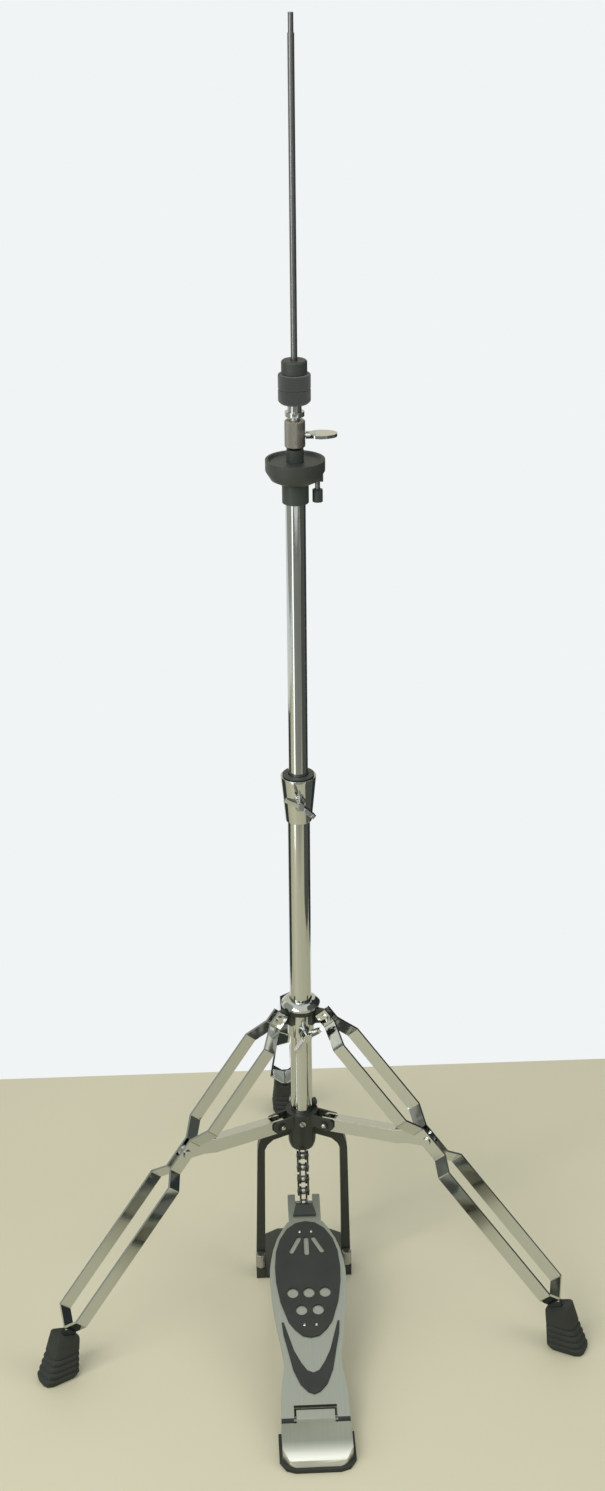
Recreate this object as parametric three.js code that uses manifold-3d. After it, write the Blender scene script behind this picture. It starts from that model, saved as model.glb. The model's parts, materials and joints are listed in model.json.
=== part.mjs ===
// Hi-hat stand: a tripod with a foot pedal that pulls a thin rod down through a telescopic tube.
// Millimetres. +Z is up, the pole's axis is X = Y = 0, the floor is Z = 0, the pedal's heel points to -Y.
import * as THREE from 'three';
import { mergeVertices } from 'three/addons/utils/BufferGeometryUtils.js';
import Module from 'manifold-3d';

const wasm = await Module();
wasm.setup();

// Clearances
const fit = 0.3;                  // between two pieces that touch or are fixed to each other
const running = 0.45;             // between two pieces that slide or turn on each other
const overrun = 2;                // how far a cutting tool passes the face it cuts
const lap = 1;                    // how far two bodies of one casting run into each other

// Tubes
const lowerTubeRadius = 11.1;
const lowerTubeWall = 1.2;
const lowerTubeTop = 590;
const upperTubeRadius = 9.5;
const upperTubeWall = 1.2;
const upperTubeInside = 100;      // length that stays inside the lower tube

// Pull rod
const rodRadius = 3;
const rodTop = 1308.5;
const rodStudRadius = 2.4;
const rodStudLength = 16.5;
const rodJointHeight = 650;
const couplerRadius = 5.4;
const couplerLength = 40;

// Hub and yoke, one casting
const hubRadius = 14.5;
const hubTop = 208;
const hubLength = 45;
const hubSocketDepth = 30;
const hubBoreRadius = 9.6;
const hubRimRadius = 12.4;
const hubRoundHeight = 9;
const yokeDepth = 12;
const yokeBendShare = 0.35;         // how far in the shoulder's bend lies
const yokeArchShares = [[0.93, 0.34], [0.77, 0.68]];
const yokeFootHalfWidth = 51.5;
const yokeTopHalfWidth = 47.6;
const yokeCornerDrop = 48;          // drops below the hub's top
const yokeShoulderHalfWidth = 43.5;
const yokeShoulderDrop = 32;
const yokeHeadDrop = 20;
const yokeLegWidth = 9.7;
const yokeLegTopWidth = 7.8;
const yokeArchDrop = 29;
const footBlockHeight = 12;
const footBlockFront = 17;

// Spur screws in the yoke's feet
const spurSetback = 11.6;
const spurHeadRadius = 5.2;
const spurHeadHeight = 16.5;
const spurShankRadius = 2.8;
const spurTipClear = 0.8;
const spurTipHeight = 3;

// Base plate under the yoke
const plateThickness = 4;
const plateHalfWidth = 44;
const plateFront = 17;
const plateShoulder = 52;
const plateEnd = 63;
const plateEndHalfWidth = 26;
const plateNeckEnd = 9;

// Rods that tie the heel to the base plate
const tieRodRadius = 2.5;
const tieRodSpread = 25;
const tieRodHeight = 9;
const tieLugWidth = 10;
const tieLugLength = 12;
const tieLugHeight = 14;
const tieLugSetback = 3.5;
const tieRodDepth = 10;

// Bracket round the hub that carries the three braces
const bracketWall = 2;
const bracketDrop = 5.4;             // from the brace pivots down to the bracket's lower edge
const bracketHeight = 13.4;
const bracePivotRadius = 29.6;
const bracePivotDrop = 8;
const earThickness = 2.2;
const earReach = 10;
const pinRadius = 3;
const pinHeadRadius = 4.4;
const pinHeadHeight = 1.8;
const hubScrewRadius = 2;
const hubScrewHeadRadius = 3.3;
const hubScrewHeadHeight = 1.8;
const hubScrewDepth = 1.5;

// Legs: two bent strips each, from the sliding collar to a rubber foot
const legCount = 3;
const legTurnDegrees = 1.6;
const legTopRadius = 28.9;
const legTopHeight = 329.4;
const legMiddleRadius = 143.9;
const legEndRadius = 302;
const stripWidth = 15;
const stripThickness = 2.2;
const stripSpread = 17;
const stripTail = 7;
const upperSplitStart = 8;
const upperSplitFull = 32;
const upperJoinStart = 33;        // distances above and below the middle pivot
const upperJoinFull = 13.5;
const lowerSplitStart = 22;
const lowerSplitFull = 36;
const footJoinStart = 27.4;         // distances above the strip's lower end
const footJoinFull = 13.4;
const footBendShare = 0.5;        // how far the joined lower end turns down for its length

// Braces: channels with a fork at the outer end
const braceHeight = 15.5;
const braceWall = 2;
const braceInnerHalf = 3.6;
const tongueFull = 4;             // thickness of the tongues that lie between a leg's two strips
const tongueStart = 35;           // distances from the brace's outer end to its narrowing
const tongueReached = 23;
const braceWebInset = 12;

// Collar that slides on the lower tube and carries the legs
const collarRingRadius = 19.8;
const collarRingHeight = 8;
const collarRimHeight = 2.6;
const collarShoulderRadius = 16.6;
const collarShoulderDrop = 1.8;
const collarRingTopRadius = 13.4;
const collarRingRise = 15.6;        // above and below the leg tops
const collarNeckRadius = 13.6;
const collarNeckDrop = 26.4;
const collarBoltDrop = 17.4;
const collarBoltTurnDegrees = -79;
const collarWingLeanDegrees = 50;
const lugRingWall = 3.6;
const lugRingHeight = 6;
const lugHeight = 18;
const lugHalfWidth = 7;
const lugReach = 6.4;
const lugCornerShares = [0.3, 0.8];

// Rubber feet
const rubberHeight = 49;
const rubberTopInset = 9.2;         // of the foot's top and bottom from the strips' lower ends
const rubberContactOffset = 3;
const rubberBottomLength = 42;
const rubberBottomWidth = 29;
const rubberTopLength = 25.5;
const rubberTopWidth = 23;
const rubberRibDepth = 2.1;
const rubberRibPitch = 6.8;
const rubberRibsStart = 7;
const rubberRibCount = 4;
const rubberChamfer = 5;
const rubberTopTiltShare = 0.36;  // rise of the top face for its length

// Height clamp at the top of the lower tube
const clampRise = 8.5;              // above the lower tube
const clampHeight = 48.5;
const clampTopRadius = 17.4;
const clampBottomRadius = 13;
const clampRimHeight = 3;
const clampBoltDrop = 21.5;
const clampBoltTurnDegrees = 35;
const bushingFlange = 1.6;
const bushingRadius = 15.6;

// Wing bolts and their bosses
const boltRadius = 2.6;
const bossRadius = 6;
const bossLength = 6;
const wingHubRadius = 4.6;
const wingHubLength = 9;
const wingSpan = 18;
const wingThickness = 4.2;
const wingDepth = 8;

// Cymbal seat
const seatHeight = 919.5;
const seatRadius = 27.6;
const seatRimHeight = 10.5;
const seatRimWall = 2.4;
const seatRecess = 2.4;
const seatNeckRadius = 12.4;
const seatNeckDrop = 41.5;          // drops below the seat's rim
const seatPivotDrop = 14.5;
const seatNeckDome = 2.6;
const seatNeckTipRadius = 4.6;
const seatConeRadius = 15.2;
const seatConeDrop = 22.5;
const seatBowlShares = [0.6, 0.32];  // the bowl's fullest place, out from and up from the cone's edge
const sleeveRadius = 8;
const sleeveBore = 5.6;
const sleeveRise = 9.5;
const sleeveDepth = 4;
const seatTubeSeat = 10;
const tiltScrewOffset = 20.4;
const tiltScrewRadius = 2.5;
const tiltLugDrop = 20.8;
const tiltLugHalfWidth = 5;
const tiltScrewDepth = 10;
const tiltKnobRadius = 5;
const tiltKnobHeight = 12;
const tiltKnobDrop = 8.5;

// Clutch, parked upside down just above the seat
const clutchRest = 2;               // above the seat's sleeve
const clutchBodyHeight = 25.3;
const clutchBodyRadius = 9.5;
const clutchBodyEdge = 1;
const stemRadius = 5;
const stemDepth = 9;
const ringNutRise = 29;             // rises above the clutch's bottom
const ringNutThickness = 4.6;
const ringNutRadius = 9;
const ringNutNeckRadius = 6.5;
const feltRise = 41;
const feltThickness = 13.4;
const feltRadius = 14.9;
const feltChamfer = 2.4;
const endNutHeight = 12.4;
const endNutRadius = 11.8;
const endNutRoof = 3;
const endNutEdge = 1.2;
const clutchWingRise = 11;
const clutchBoltRadius = 2;
const clutchWingHubRadius = 3.6;
const clutchWingHubLength = 9;
const clutchLeafLength = 29;
const clutchLeafHalfWidth = 13.5;
const clutchLeafThickness = 3;
const clutchWingTurnDegrees = 86;

// Return spring and its seats inside the lower tube
const springSeatRise = 1.5;         // above the hub
const springSeatThickness = 8;
const springRadius = 8.6;
const springWireThickness = 2.6;
const springLength = 76;
const springCapThickness = 6;
const knobRadius = 4;
const knobLength = 5;
const knobShankRadius = 1.8;
const knobRise = 4.4;               // above the hub
const knobTurnDegrees = 25;

// Footboard, in its own frame: across, along from the hinge and up from the hinge
const hingeBack = 256;
const hingeHeight = 16.5;
const boardLength = 248;          // hinge axis to toe pin
const toePinHeight = 104;
const boardHalfWidth = 39.3;
const boardThickness = 5;
const knuckleRadius = 4.5;
const hingePinRadius = 2.4;
const tongueHalfWidth = 19;
const tongueLength = 9;
const tongueThickness = 3.4;
const tongueSideGap = 2.4;
const tongueFrontGap = 5;
const earInner = 9.2;
const earOuter = 16.9;
const earStartInset = 26;         // insets from the toe pin
const earEndReach = 8.5;
const earDrop = 5;
const boardToeInset = 6.5;
const toePinRadius = 1.8;
const padThickness = 1.5;
const padStart = 87;
const padEndInset = 26.5;
const padHalfWidth = 33.8;
const padHoleRadius = 5.9;
const padSlotRadius = 2.5;
const padSlotLength = 17;
const chevronTop = 104.5;
const chevronBottom = 25.3;
const chevronHalfWidth = 29.4;
const blockStartInset = 19.5;
const blockLength = 12.5;
const blockHalfWidth = 12.2;
const blockEndHalfWidth = 9;
const blockHeight = 3.2;

// Heel plate and the rubber under it
const heelLength = 44.4;
const heelHalfWidth = 34.4;
const heelNoseHalfWidth = 22;
const heelHeight = 20;
const heelShoulder = 7;           // from the hinge axis back to the plate's edge
const heelRubberThickness = 4.6;
const heelRubberMargin = 3;

// Chain
const chainPitch = 12.7;
const chainLinks = 5;
const chainPlate = 1.4;
const chainInnerHalf = 3;
const chainPlateRadius = 5.2;
const chainRollerRadius = 4.2;
const chainPinRadius = 1.8;
const toeFreedom = 1.35;          // slack round the toe pin, where the pedal's loop is open
const clevisWall = 2.2;
const clevisHalfDepth = 4.4;
const clevisBlockRadius = 7.4;
const clevisBlockHeight = 12;
const clevisDrop = 4.6;
const clevisNeck = 7;

// Numbers of sides
const roundSides = 32;
const smallSides = 16;
const tinySides = 12;

// Places that follow from the sizes
const hubBottom = hubTop - hubLength;
const hubSocketFloor = hubTop - hubSocketDepth;
const yokeCornerHeight = hubTop - yokeCornerDrop;
const yokeShoulderHeight = hubTop - yokeShoulderDrop;
const yokeHeadHeight = hubTop - yokeHeadDrop;
const yokeArchHeight = hubTop - yokeArchDrop;
const bracePivotHeight = hubTop - bracePivotDrop;
const bracketBottom = bracePivotHeight - bracketDrop;
const springSeatHeight = hubTop + springSeatRise;
const knobHeight = hubTop + knobRise;
const collarRingTop = legTopHeight + collarRingRise;
const collarNeckBottom = legTopHeight - collarNeckDrop;
const collarBoltHeight = legTopHeight - collarBoltDrop;
const rubberTopRadius = legEndRadius - rubberTopInset;
const rubberContactRadius = legEndRadius + rubberContactOffset;
const clampTop = lowerTubeTop + clampRise;
const clampBoltHeight = clampTop - clampBoltDrop;
const seatNeckBottom = seatHeight - seatNeckDrop;
const seatPivotHeight = seatHeight - seatPivotDrop;
const seatConeHeight = seatHeight - seatConeDrop;
const tiltLugBottom = seatHeight - tiltLugDrop;
const sleeveTop = seatHeight + sleeveRise;
const clutchBottom = sleeveTop + clutchRest;
const ringNutHeight = clutchBottom + ringNutRise;
const feltBottom = clutchBottom + feltRise;
const earStart = boardLength - earStartInset;
const earEnd = boardLength + earEndReach;
const boardToeEnd = boardLength - boardToeInset;
const padEnd = boardLength - padEndInset;
const blockStart = boardLength - blockStartInset;
const legSlope = (legTopHeight - rubberHeight) / (legEndRadius - legTopRadius);
const legMiddleHeight = legTopHeight - (legMiddleRadius - legTopRadius) * legSlope;
const legTurn = THREE.MathUtils.degToRad(legTurnDegrees);
const legAngle = Math.atan2(legMiddleRadius - legTopRadius, legTopHeight - legMiddleHeight);
const legUpper = Math.hypot(legMiddleRadius - legTopRadius, legTopHeight - legMiddleHeight);
const legLength = (legEndRadius - legTopRadius) / Math.sin(legAngle);
const braceRise = Math.atan2(legMiddleHeight - bracePivotHeight, legMiddleRadius - bracePivotRadius);
const braceLength = Math.hypot(legMiddleRadius - bracePivotRadius, legMiddleHeight - bracePivotHeight);
const boardRise = Math.asin((toePinHeight - hingeHeight) / boardLength);
const toePinBack = hingeBack - boardLength * Math.cos(boardRise);
const chainLength = chainPitch * chainLinks;
const chainLean = Math.asin(toePinBack / chainLength);
const chainTop = toePinHeight + chainLength * Math.cos(chainLean);
const lowerTubeInner = lowerTubeRadius - lowerTubeWall;
const upperTubeInner = upperTubeRadius - upperTubeWall;
const upperTubeBottom = lowerTubeTop - upperTubeInside;
const stripCentre = tongueFull / 2 + running + stripThickness / 2;
const rivetInside = stripCentre + stripThickness / 2 + fit;
const bracketInner = hubRadius + fit;
const bracketOuter = bracketInner + bracketWall;
const braceOuterHalf = braceInnerHalf + braceWall;
const earInside = braceOuterHalf + running;
const boardTop = knuckleRadius;
const boardBottom = boardTop - boardThickness;

// Closed solids: shared corners are merged, empty triangles dropped and faces turned outwards
function solid(geometry) {
  const bare = geometry.clone();
  bare.deleteAttribute('normal');
  bare.deleteAttribute('uv');
  const merged = mergeVertices(bare, 1e-4);
  const place = merged.attributes.position;
  const corners = [];
  let volume = 0;
  const a = new THREE.Vector3(), b = new THREE.Vector3(), c = new THREE.Vector3();
  for (let i = 0; i < merged.index.count; i += 3) {
    const [p, q, r] = [0, 1, 2].map((k) => merged.index.getX(i + k));
    if (p === q || q === r || r === p) continue;
    corners.push(p, q, r);
    a.fromBufferAttribute(place, p);
    b.fromBufferAttribute(place, q);
    c.fromBufferAttribute(place, r);
    volume += a.dot(b.cross(c));
  }
  if (volume < 0) corners.reverse();
  merged.setIndex(corners);
  return merged;
}

function toManifold(geometry) {
  const closed = solid(geometry);
  return new wasm.Manifold(new wasm.Mesh({
    numProp: 3,
    vertProperties: new Float32Array(closed.attributes.position.array),
    triVerts: new Uint32Array(closed.index.array),
  }));
}

function fromManifold(body) {
  const mesh = body.getMesh();
  const geometry = new THREE.BufferGeometry();
  geometry.setAttribute('position', new THREE.BufferAttribute(new Float32Array(mesh.vertProperties), 3));
  geometry.setIndex(Array.from(mesh.triVerts));
  return geometry;
}

function join(...pieces) {
  return fromManifold(pieces.map(toManifold).reduce((whole, next) => whole.add(next)));
}

function cut(piece, ...tools) {
  return fromManifold(tools.map(toManifold).reduce((whole, tool) => whole.subtract(tool), toManifold(piece)));
}

function common(piece, other) {
  return fromManifold(toManifold(piece).intersect(toManifold(other)));
}

// Shapes used by many pieces
const spun = (profile, sides = roundSides) => new THREE.LatheGeometry(
  profile.map(([r, z]) => new THREE.Vector2(r, z)), sides).rotateX(Math.PI / 2);

const ring = (inner, outer, bottom, top, sides = roundSides) => spun(
  [[inner, bottom], [outer, bottom], [outer, top], [inner, top], [inner, bottom]], sides);

const drum = (radius, bottom, top, sides = roundSides) => new THREE.CylinderGeometry(
  radius, radius, top - bottom, sides).rotateX(Math.PI / 2).translate(0, 0, (top + bottom) / 2);

// Round bars along X and Y, from one place to another
const barAlongX = (radius, from, to, y, z, sides = smallSides) => new THREE.CylinderGeometry(
  radius, radius, to - from, sides).rotateZ(Math.PI / 2).translate((from + to) / 2, y, z);

const barAlongY = (radius, from, to, x, z, sides = smallSides) => new THREE.CylinderGeometry(
  radius, radius, to - from, sides).translate(x, (from + to) / 2, z);

const block = (x0, x1, y0, y1, z0, z1) => new THREE.BoxGeometry(x1 - x0, y1 - y0, z1 - z0)
  .translate((x0 + x1) / 2, (y0 + y1) / 2, (z0 + z1) / 2);

const outline = (points) => new THREE.Shape(points.map(([x, y]) => new THREE.Vector2(x, y)));

const slab = (shape, bottom, top, steps = smallSides) => new THREE.ExtrudeGeometry(
  shape, { depth: top - bottom, bevelEnabled: false, curveSegments: steps }).translate(0, 0, bottom);

// A side view (across and up) made as thick as from y0 to y1, or a side view (along and up) from x0 to x1
const slabAcrossY = (shape, y0, y1, steps) => slab(shape, 0, y1 - y0, steps)
  .rotateX(Math.PI / 2).translate(0, y1, 0);

const alongXFrame = new THREE.Matrix4().makeBasis(
  new THREE.Vector3(0, 1, 0), new THREE.Vector3(0, 0, 1), new THREE.Vector3(1, 0, 0));

const slabAcrossX = (shape, x0, x1, steps) => slab(shape, x0, x1, steps).applyMatrix4(alongXFrame);

const mirrored = (points) => [
  ...points,
  ...points.slice().reverse().filter(([x]) => x !== 0).map(([x, y]) => [-x, y]),
];

// Bar with round ends, from one centre to the other
function stadium(x0, y0, x1, y1, radius) {
  const along = Math.atan2(y1 - y0, x1 - x0);
  const shape = new THREE.Shape();
  shape.absarc(x1, y1, radius, along - Math.PI / 2, along + Math.PI / 2, false);
  shape.absarc(x0, y0, radius, along + Math.PI / 2, along + Math.PI * 3 / 2, false);
  return shape;
}

// Strip of even thickness along a bent path
function ribbon(path, thickness) {
  const side = (offset) => path.map(([x, y], i) => {
    const [px, py] = path[Math.max(i - 1, 0)];
    const [nx, ny] = path[Math.min(i + 1, path.length - 1)];
    const before = Math.atan2(y - py, x - px);
    const after = Math.atan2(ny - y, nx - x);
    const first = i === 0 ? after : before;
    const last = i === path.length - 1 ? before : after;
    const middle = (first + last) / 2;
    const reach = offset / Math.cos((last - first) / 2);
    return [x - reach * Math.sin(middle), y + reach * Math.cos(middle)];
  });
  return outline([...side(thickness / 2), ...side(-thickness / 2).reverse()]);
}

// Shares of a wing's span and hub below its widest place, and of its span and its rise over the hub above it
const wingUnderShares = [[0, 0.3], [0.5, 0.45]];
const wingOverShares = [[0.86, -0.15], [1, 0.25], [0.94, 0.5], [0.7, 0.45], [0.35, 0.1]];

function wingOutline(hubLength, span, depth) {
  const under = wingUnderShares.map(([across, up]) => [span * across, hubLength * up]);
  const over = wingOverShares.map(([across, up]) => [span * across, hubLength + depth * up]);
  return outline(mirrored([...under, ...over, [0, hubLength]]));
}

// Wing bolt pointing along +Z, its hub standing on Z = 0, its shank below and its blade across X
function wingBolt(shankRadius, shankLength, hubRadius, hubLength, blade, thickness) {
  return join(
    drum(shankRadius, -shankLength, lap, tinySides),
    drum(hubRadius, 0, hubLength, smallSides),
    slabAcrossY(blade, -thickness / 2, thickness / 2),
  );
}

// Finishes
const finish = (color, roughness, metalness) => new THREE.MeshStandardMaterial(
  { color, roughness, metalness });
const chrome = () => finish(0xd6d8d6, 0.08, 1);
const rodSteel = () => finish(0x8f9496, 0.28, 1);
const springSteel = () => finish(0x77797a, 0.35, 1);
const blackPaint = () => finish(0x23282a, 0.42, 0.2);
const blackPlastic = () => finish(0x1f2324, 0.5, 0);
const blackRubber = () => finish(0x1c1f1f, 0.85, 0);
const blackFelt = () => finish(0x24282a, 0.98, 0);
const brushedAluminium = () => finish(0xa9ada8, 0.38, 1);

const stand = new THREE.Group();

function add(name, geometry, material, parent = stand) {
  const closed = solid(geometry);
  closed.computeVertexNormals();
  const mesh = new THREE.Mesh(closed, material);
  mesh.name = name;
  parent.add(mesh);
  return mesh;
}

// Radial frames: local X points away from the pole
function radialGroup(angle, parent = stand) {
  const group = new THREE.Group();
  group.rotation.z = angle;
  parent.add(group);
  return group;
}

const legDirections = Array.from({ length: legCount }, (_, k) => (
  Math.PI / 2 + legTurn + k * 2 * Math.PI / legCount));

// The stand's tubes and the hub
function makeTubes() {
  const knobHole = barAlongX(knobShankRadius + fit, 0, lowerTubeRadius + overrun, 0, knobHeight, tinySides)
    .rotateZ(THREE.MathUtils.degToRad(knobTurnDegrees));
  const lowerTube = ring(lowerTubeInner, lowerTubeRadius, hubSocketFloor + fit, lowerTubeTop);
  add('lower_tube', cut(lowerTube, knobHole), chrome());
  add('upper_tube', ring(upperTubeInner, upperTubeRadius, upperTubeBottom,
    seatPivotHeight - seatTubeSeat - fit), chrome());
}

function makePedalFrame() {
  const socket = lowerTubeRadius + fit;
  const hub = spun([
    [hubBoreRadius, hubBottom], [hubRimRadius, hubBottom],
    [hubRadius - (hubRadius - hubRimRadius) / 4, hubBottom + hubRoundHeight / 2],
    [hubRadius, hubBottom + hubRoundHeight], [hubRadius, hubTop], [socket, hubTop],
    [socket, hubSocketFloor], [hubBoreRadius, hubSocketFloor], [hubBoreRadius, hubBottom],
  ]);
  const innerTop = yokeTopHalfWidth - yokeLegTopWidth;
  const arch = yokeArchHeight - yokeCornerHeight;
  const bend = yokeTopHalfWidth - (yokeTopHalfWidth - yokeShoulderHalfWidth) * yokeBendShare;
  const archPoints = yokeArchShares.map(([across, up]) => [innerTop * across, yokeCornerHeight + arch * up]);
  const outside = [
    [yokeFootHalfWidth, 0], [yokeTopHalfWidth, yokeCornerHeight],
    [bend, (yokeCornerHeight + yokeShoulderHeight) / 2], [yokeShoulderHalfWidth, yokeShoulderHeight],
    [hubRadius, yokeHeadHeight],
  ];
  const inside = [
    [hubRadius, yokeArchHeight], ...archPoints.slice().reverse(), [innerTop, yokeCornerHeight],
    [yokeFootHalfWidth - yokeLegWidth, 0],
  ];
  const flip = (points) => points.slice().reverse().map(([x, y]) => [-x, y]);
  const yoke = outline([...outside, ...flip(outside), ...flip(inside), ...inside]);
  const blocks = [-1, 1].map((side) => block(
    ...[side * (yokeFootHalfWidth - yokeLegWidth), side * yokeFootHalfWidth].sort((p, q) => p - q),
    -footBlockFront, yokeDepth / 2, 0, footBlockHeight));
  const spurBore = drum(spurShankRadius + fit, -overrun, footBlockHeight + overrun, smallSides);
  const spurBores = [-1, 1].map((side) => spurBore.clone().translate(side * spurPlace.x, spurPlace.y, 0));
  const screwHole = barAlongY(hubScrewRadius + fit, -hubRadius - overrun, hubScrewDepth - hubRadius, 0,
    bracePivotHeight, tinySides);
  add('pedal_frame', cut(
    join(hub, slabAcrossY(yoke, -yokeDepth / 2, yokeDepth / 2), ...blocks),
    drum(hubBoreRadius, hubBottom - overrun, hubSocketFloor + lap),
    drum(socket, hubSocketFloor, hubTop + overrun),
    ...spurBores,
    screwHole,
  ), blackPaint());
}

const spurPlace = { x: yokeFootHalfWidth - yokeLegWidth / 2, y: -spurSetback };

function makeSpurs() {
  [['spur_left', -1], ['spur_right', 1]].forEach(([name, side]) => {
    const headBottom = footBlockHeight + fit;
    const spur = spun([
      [0, spurTipClear], [spurShankRadius, spurTipClear + spurTipHeight], [spurShankRadius, headBottom],
      [spurHeadRadius, headBottom], [spurHeadRadius, headBottom + spurHeadHeight],
      [0, headBottom + spurHeadHeight],
    ], smallSides);
    add(name, spur, rodSteel()).position.set(side * spurPlace.x, spurPlace.y, 0);
  });
}

function makeBasePlate() {
  const neck = yokeFootHalfWidth - yokeLegWidth - fit;
  const plate = outline(mirrored([
    [neck, -plateFront], [neck, plateNeckEnd], [plateHalfWidth, plateNeckEnd],
    [plateHalfWidth, plateShoulder], [plateEndHalfWidth, plateEnd],
  ]));
  const lugFront = tieLugSetback - plateFront;
  const lugBack = lugFront + tieLugLength;
  const lugs = [-1, 1].map((side) => block(
    side * tieRodSpread - tieLugWidth / 2, side * tieRodSpread + tieLugWidth / 2,
    lugFront, lugBack, plateThickness - lap, tieLugHeight));
  const bores = [-1, 1].map((side) => barAlongY(tieRodRadius + fit, -plateFront - overrun, lugBack + overrun,
    side * tieRodSpread, tieRodHeight, tinySides));
  add('base_plate', cut(join(slab(plate, 0, plateThickness), ...lugs), ...bores), blackPaint());
}

function makeTieRods() {
  [['tie_rod_left', -1], ['tie_rod_right', 1]].forEach(([name, side]) => add(name, barAlongY(tieRodRadius,
    -hingeBack - heelShoulder - tieRodDepth, tieLugSetback - plateFront + tieLugLength,
    side * tieRodSpread, tieRodHeight, tinySides), blackPaint()));
}

// Bracket of one ring and three pairs of ears, each with the pin that a brace turns on
function makeBracket() {
  const earTop = bracketBottom + bracketHeight;
  const tip = bracePivotRadius + earReach;
  const corner = bracketHeight / 4;
  const earShape = outline([
    [bracketInner, bracketBottom], [tip - corner, bracketBottom], [tip, bracketBottom + corner],
    [tip, earTop - corner], [tip - corner, earTop], [bracketInner, earTop],
  ]);
  const parts = [];
  for (const direction of legDirections) {
    for (const side of [-1, 1]) {
      const faces = [side * earInside, side * (earInside + earThickness)].sort((p, q) => p - q);
      const heads = [side * (earInside + earThickness / 2), side * (earInside + earThickness + pinHeadHeight)]
        .sort((p, q) => p - q);
      const root = block(hubRadius / 2, bracketOuter, ...faces, bracketBottom, earTop);
      parts.push(slabAcrossY(earShape, ...faces).rotateZ(direction), root.rotateZ(direction));
      parts.push(barAlongY(pinHeadRadius, ...heads, bracePivotRadius, bracePivotHeight).rotateZ(direction));
    }
    const reach = earInside + earThickness / 2;
    parts.push(barAlongY(pinRadius, -reach, reach, bracePivotRadius, bracePivotHeight).rotateZ(direction));
  }
  const screwHole = barAlongY(hubScrewRadius + fit, -bracketOuter - overrun, 0, 0, bracePivotHeight,
    tinySides);
  add('brace_bracket', cut(
    join(ring(bracketInner, bracketOuter, bracketBottom, earTop), ...parts),
    drum(bracketInner, bracketBottom - overrun, earTop + overrun),
    screwHole,
  ), blackPaint());
  const headFace = -bracketOuter - fit;
  add('hub_screw', join(
    barAlongY(hubScrewRadius, headFace - lap, hubScrewDepth - hubRadius - fit, 0, bracePivotHeight,
      tinySides),
    barAlongY(hubScrewHeadRadius, headFace - hubScrewHeadHeight, headFace, 0, bracePivotHeight),
  ), rodSteel());
}

function makeBraces() {
  legDirections.forEach((direction, k) => {
    const group = radialGroup(direction);
    const plateCentre = braceInnerHalf + braceWall / 2;
    const side = slabAcrossY(stadium(0, 0, braceLength, 0, braceHeight / 2), -braceOuterHalf - lap,
      braceOuterHalf + lap, tinySides);
    const plates = [1, -1].map((way) => common(side, slab(ribbon([
      [-braceHeight, way * plateCentre], [braceLength - tongueStart, way * plateCentre],
      [braceLength - tongueReached, way * tongueFull / 4], [braceLength + braceHeight, way * tongueFull / 4],
    ], braceWall), -braceHeight, braceHeight)));
    const web = block(braceWebInset, braceLength - tongueStart, -plateCentre, plateCentre,
      braceHeight / 2 - braceWall, braceHeight / 2);
    const pinReach = rivetInside + pinHeadHeight;
    const pin = barAlongY(pinRadius, -pinReach, pinReach, braceLength, 0);
    const heads = [1, -1].map((way) => barAlongY(pinHeadRadius,
      ...[way * rivetInside, way * pinReach].sort((p, q) => p - q), braceLength, 0));
    const bore = barAlongY(pinRadius + fit, -braceOuterHalf - overrun, braceOuterHalf + overrun, 0, 0);
    const brace = add(`brace_${k + 1}`, cut(join(...plates, web, pin, ...heads), bore), chrome(), group);
    brace.position.set(bracePivotRadius, 0, bracePivotHeight);
    brace.rotation.y = -braceRise;
  });
}

function stripPath(side, extra = 0) {
  const joined = side * stripCentre;
  const spread = side * stripSpread;
  const closed = side * (stripThickness + fit) / 2;
  return [
    [-stripTail, joined], [upperSplitStart, joined], [upperSplitFull, spread],
    [legUpper - upperJoinStart, spread], [legUpper - upperJoinFull, joined],
    [legUpper + lowerSplitStart, joined], [legUpper + lowerSplitFull, spread],
    [legLength - footJoinStart, spread], [legLength - footJoinFull, closed], [legLength + extra, closed],
  ];
}

// The lower end of a strip turns down into its rubber foot
function turnedDown(geometry) {
  const place = geometry.attributes.position;
  for (let i = 0; i < place.count; i += 1) {
    const past = Math.max(place.getX(i) - legLength + footJoinStart, 0);
    place.setZ(i, place.getZ(i) - past * footBendShare);
  }
  return geometry;
}

const cornerShares = [[1, 0.45], [0.9, 0.8], [0.62, 1]];
const grooveMiddleShare = 0.3;
const grooveEndShare = 0.6;

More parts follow.
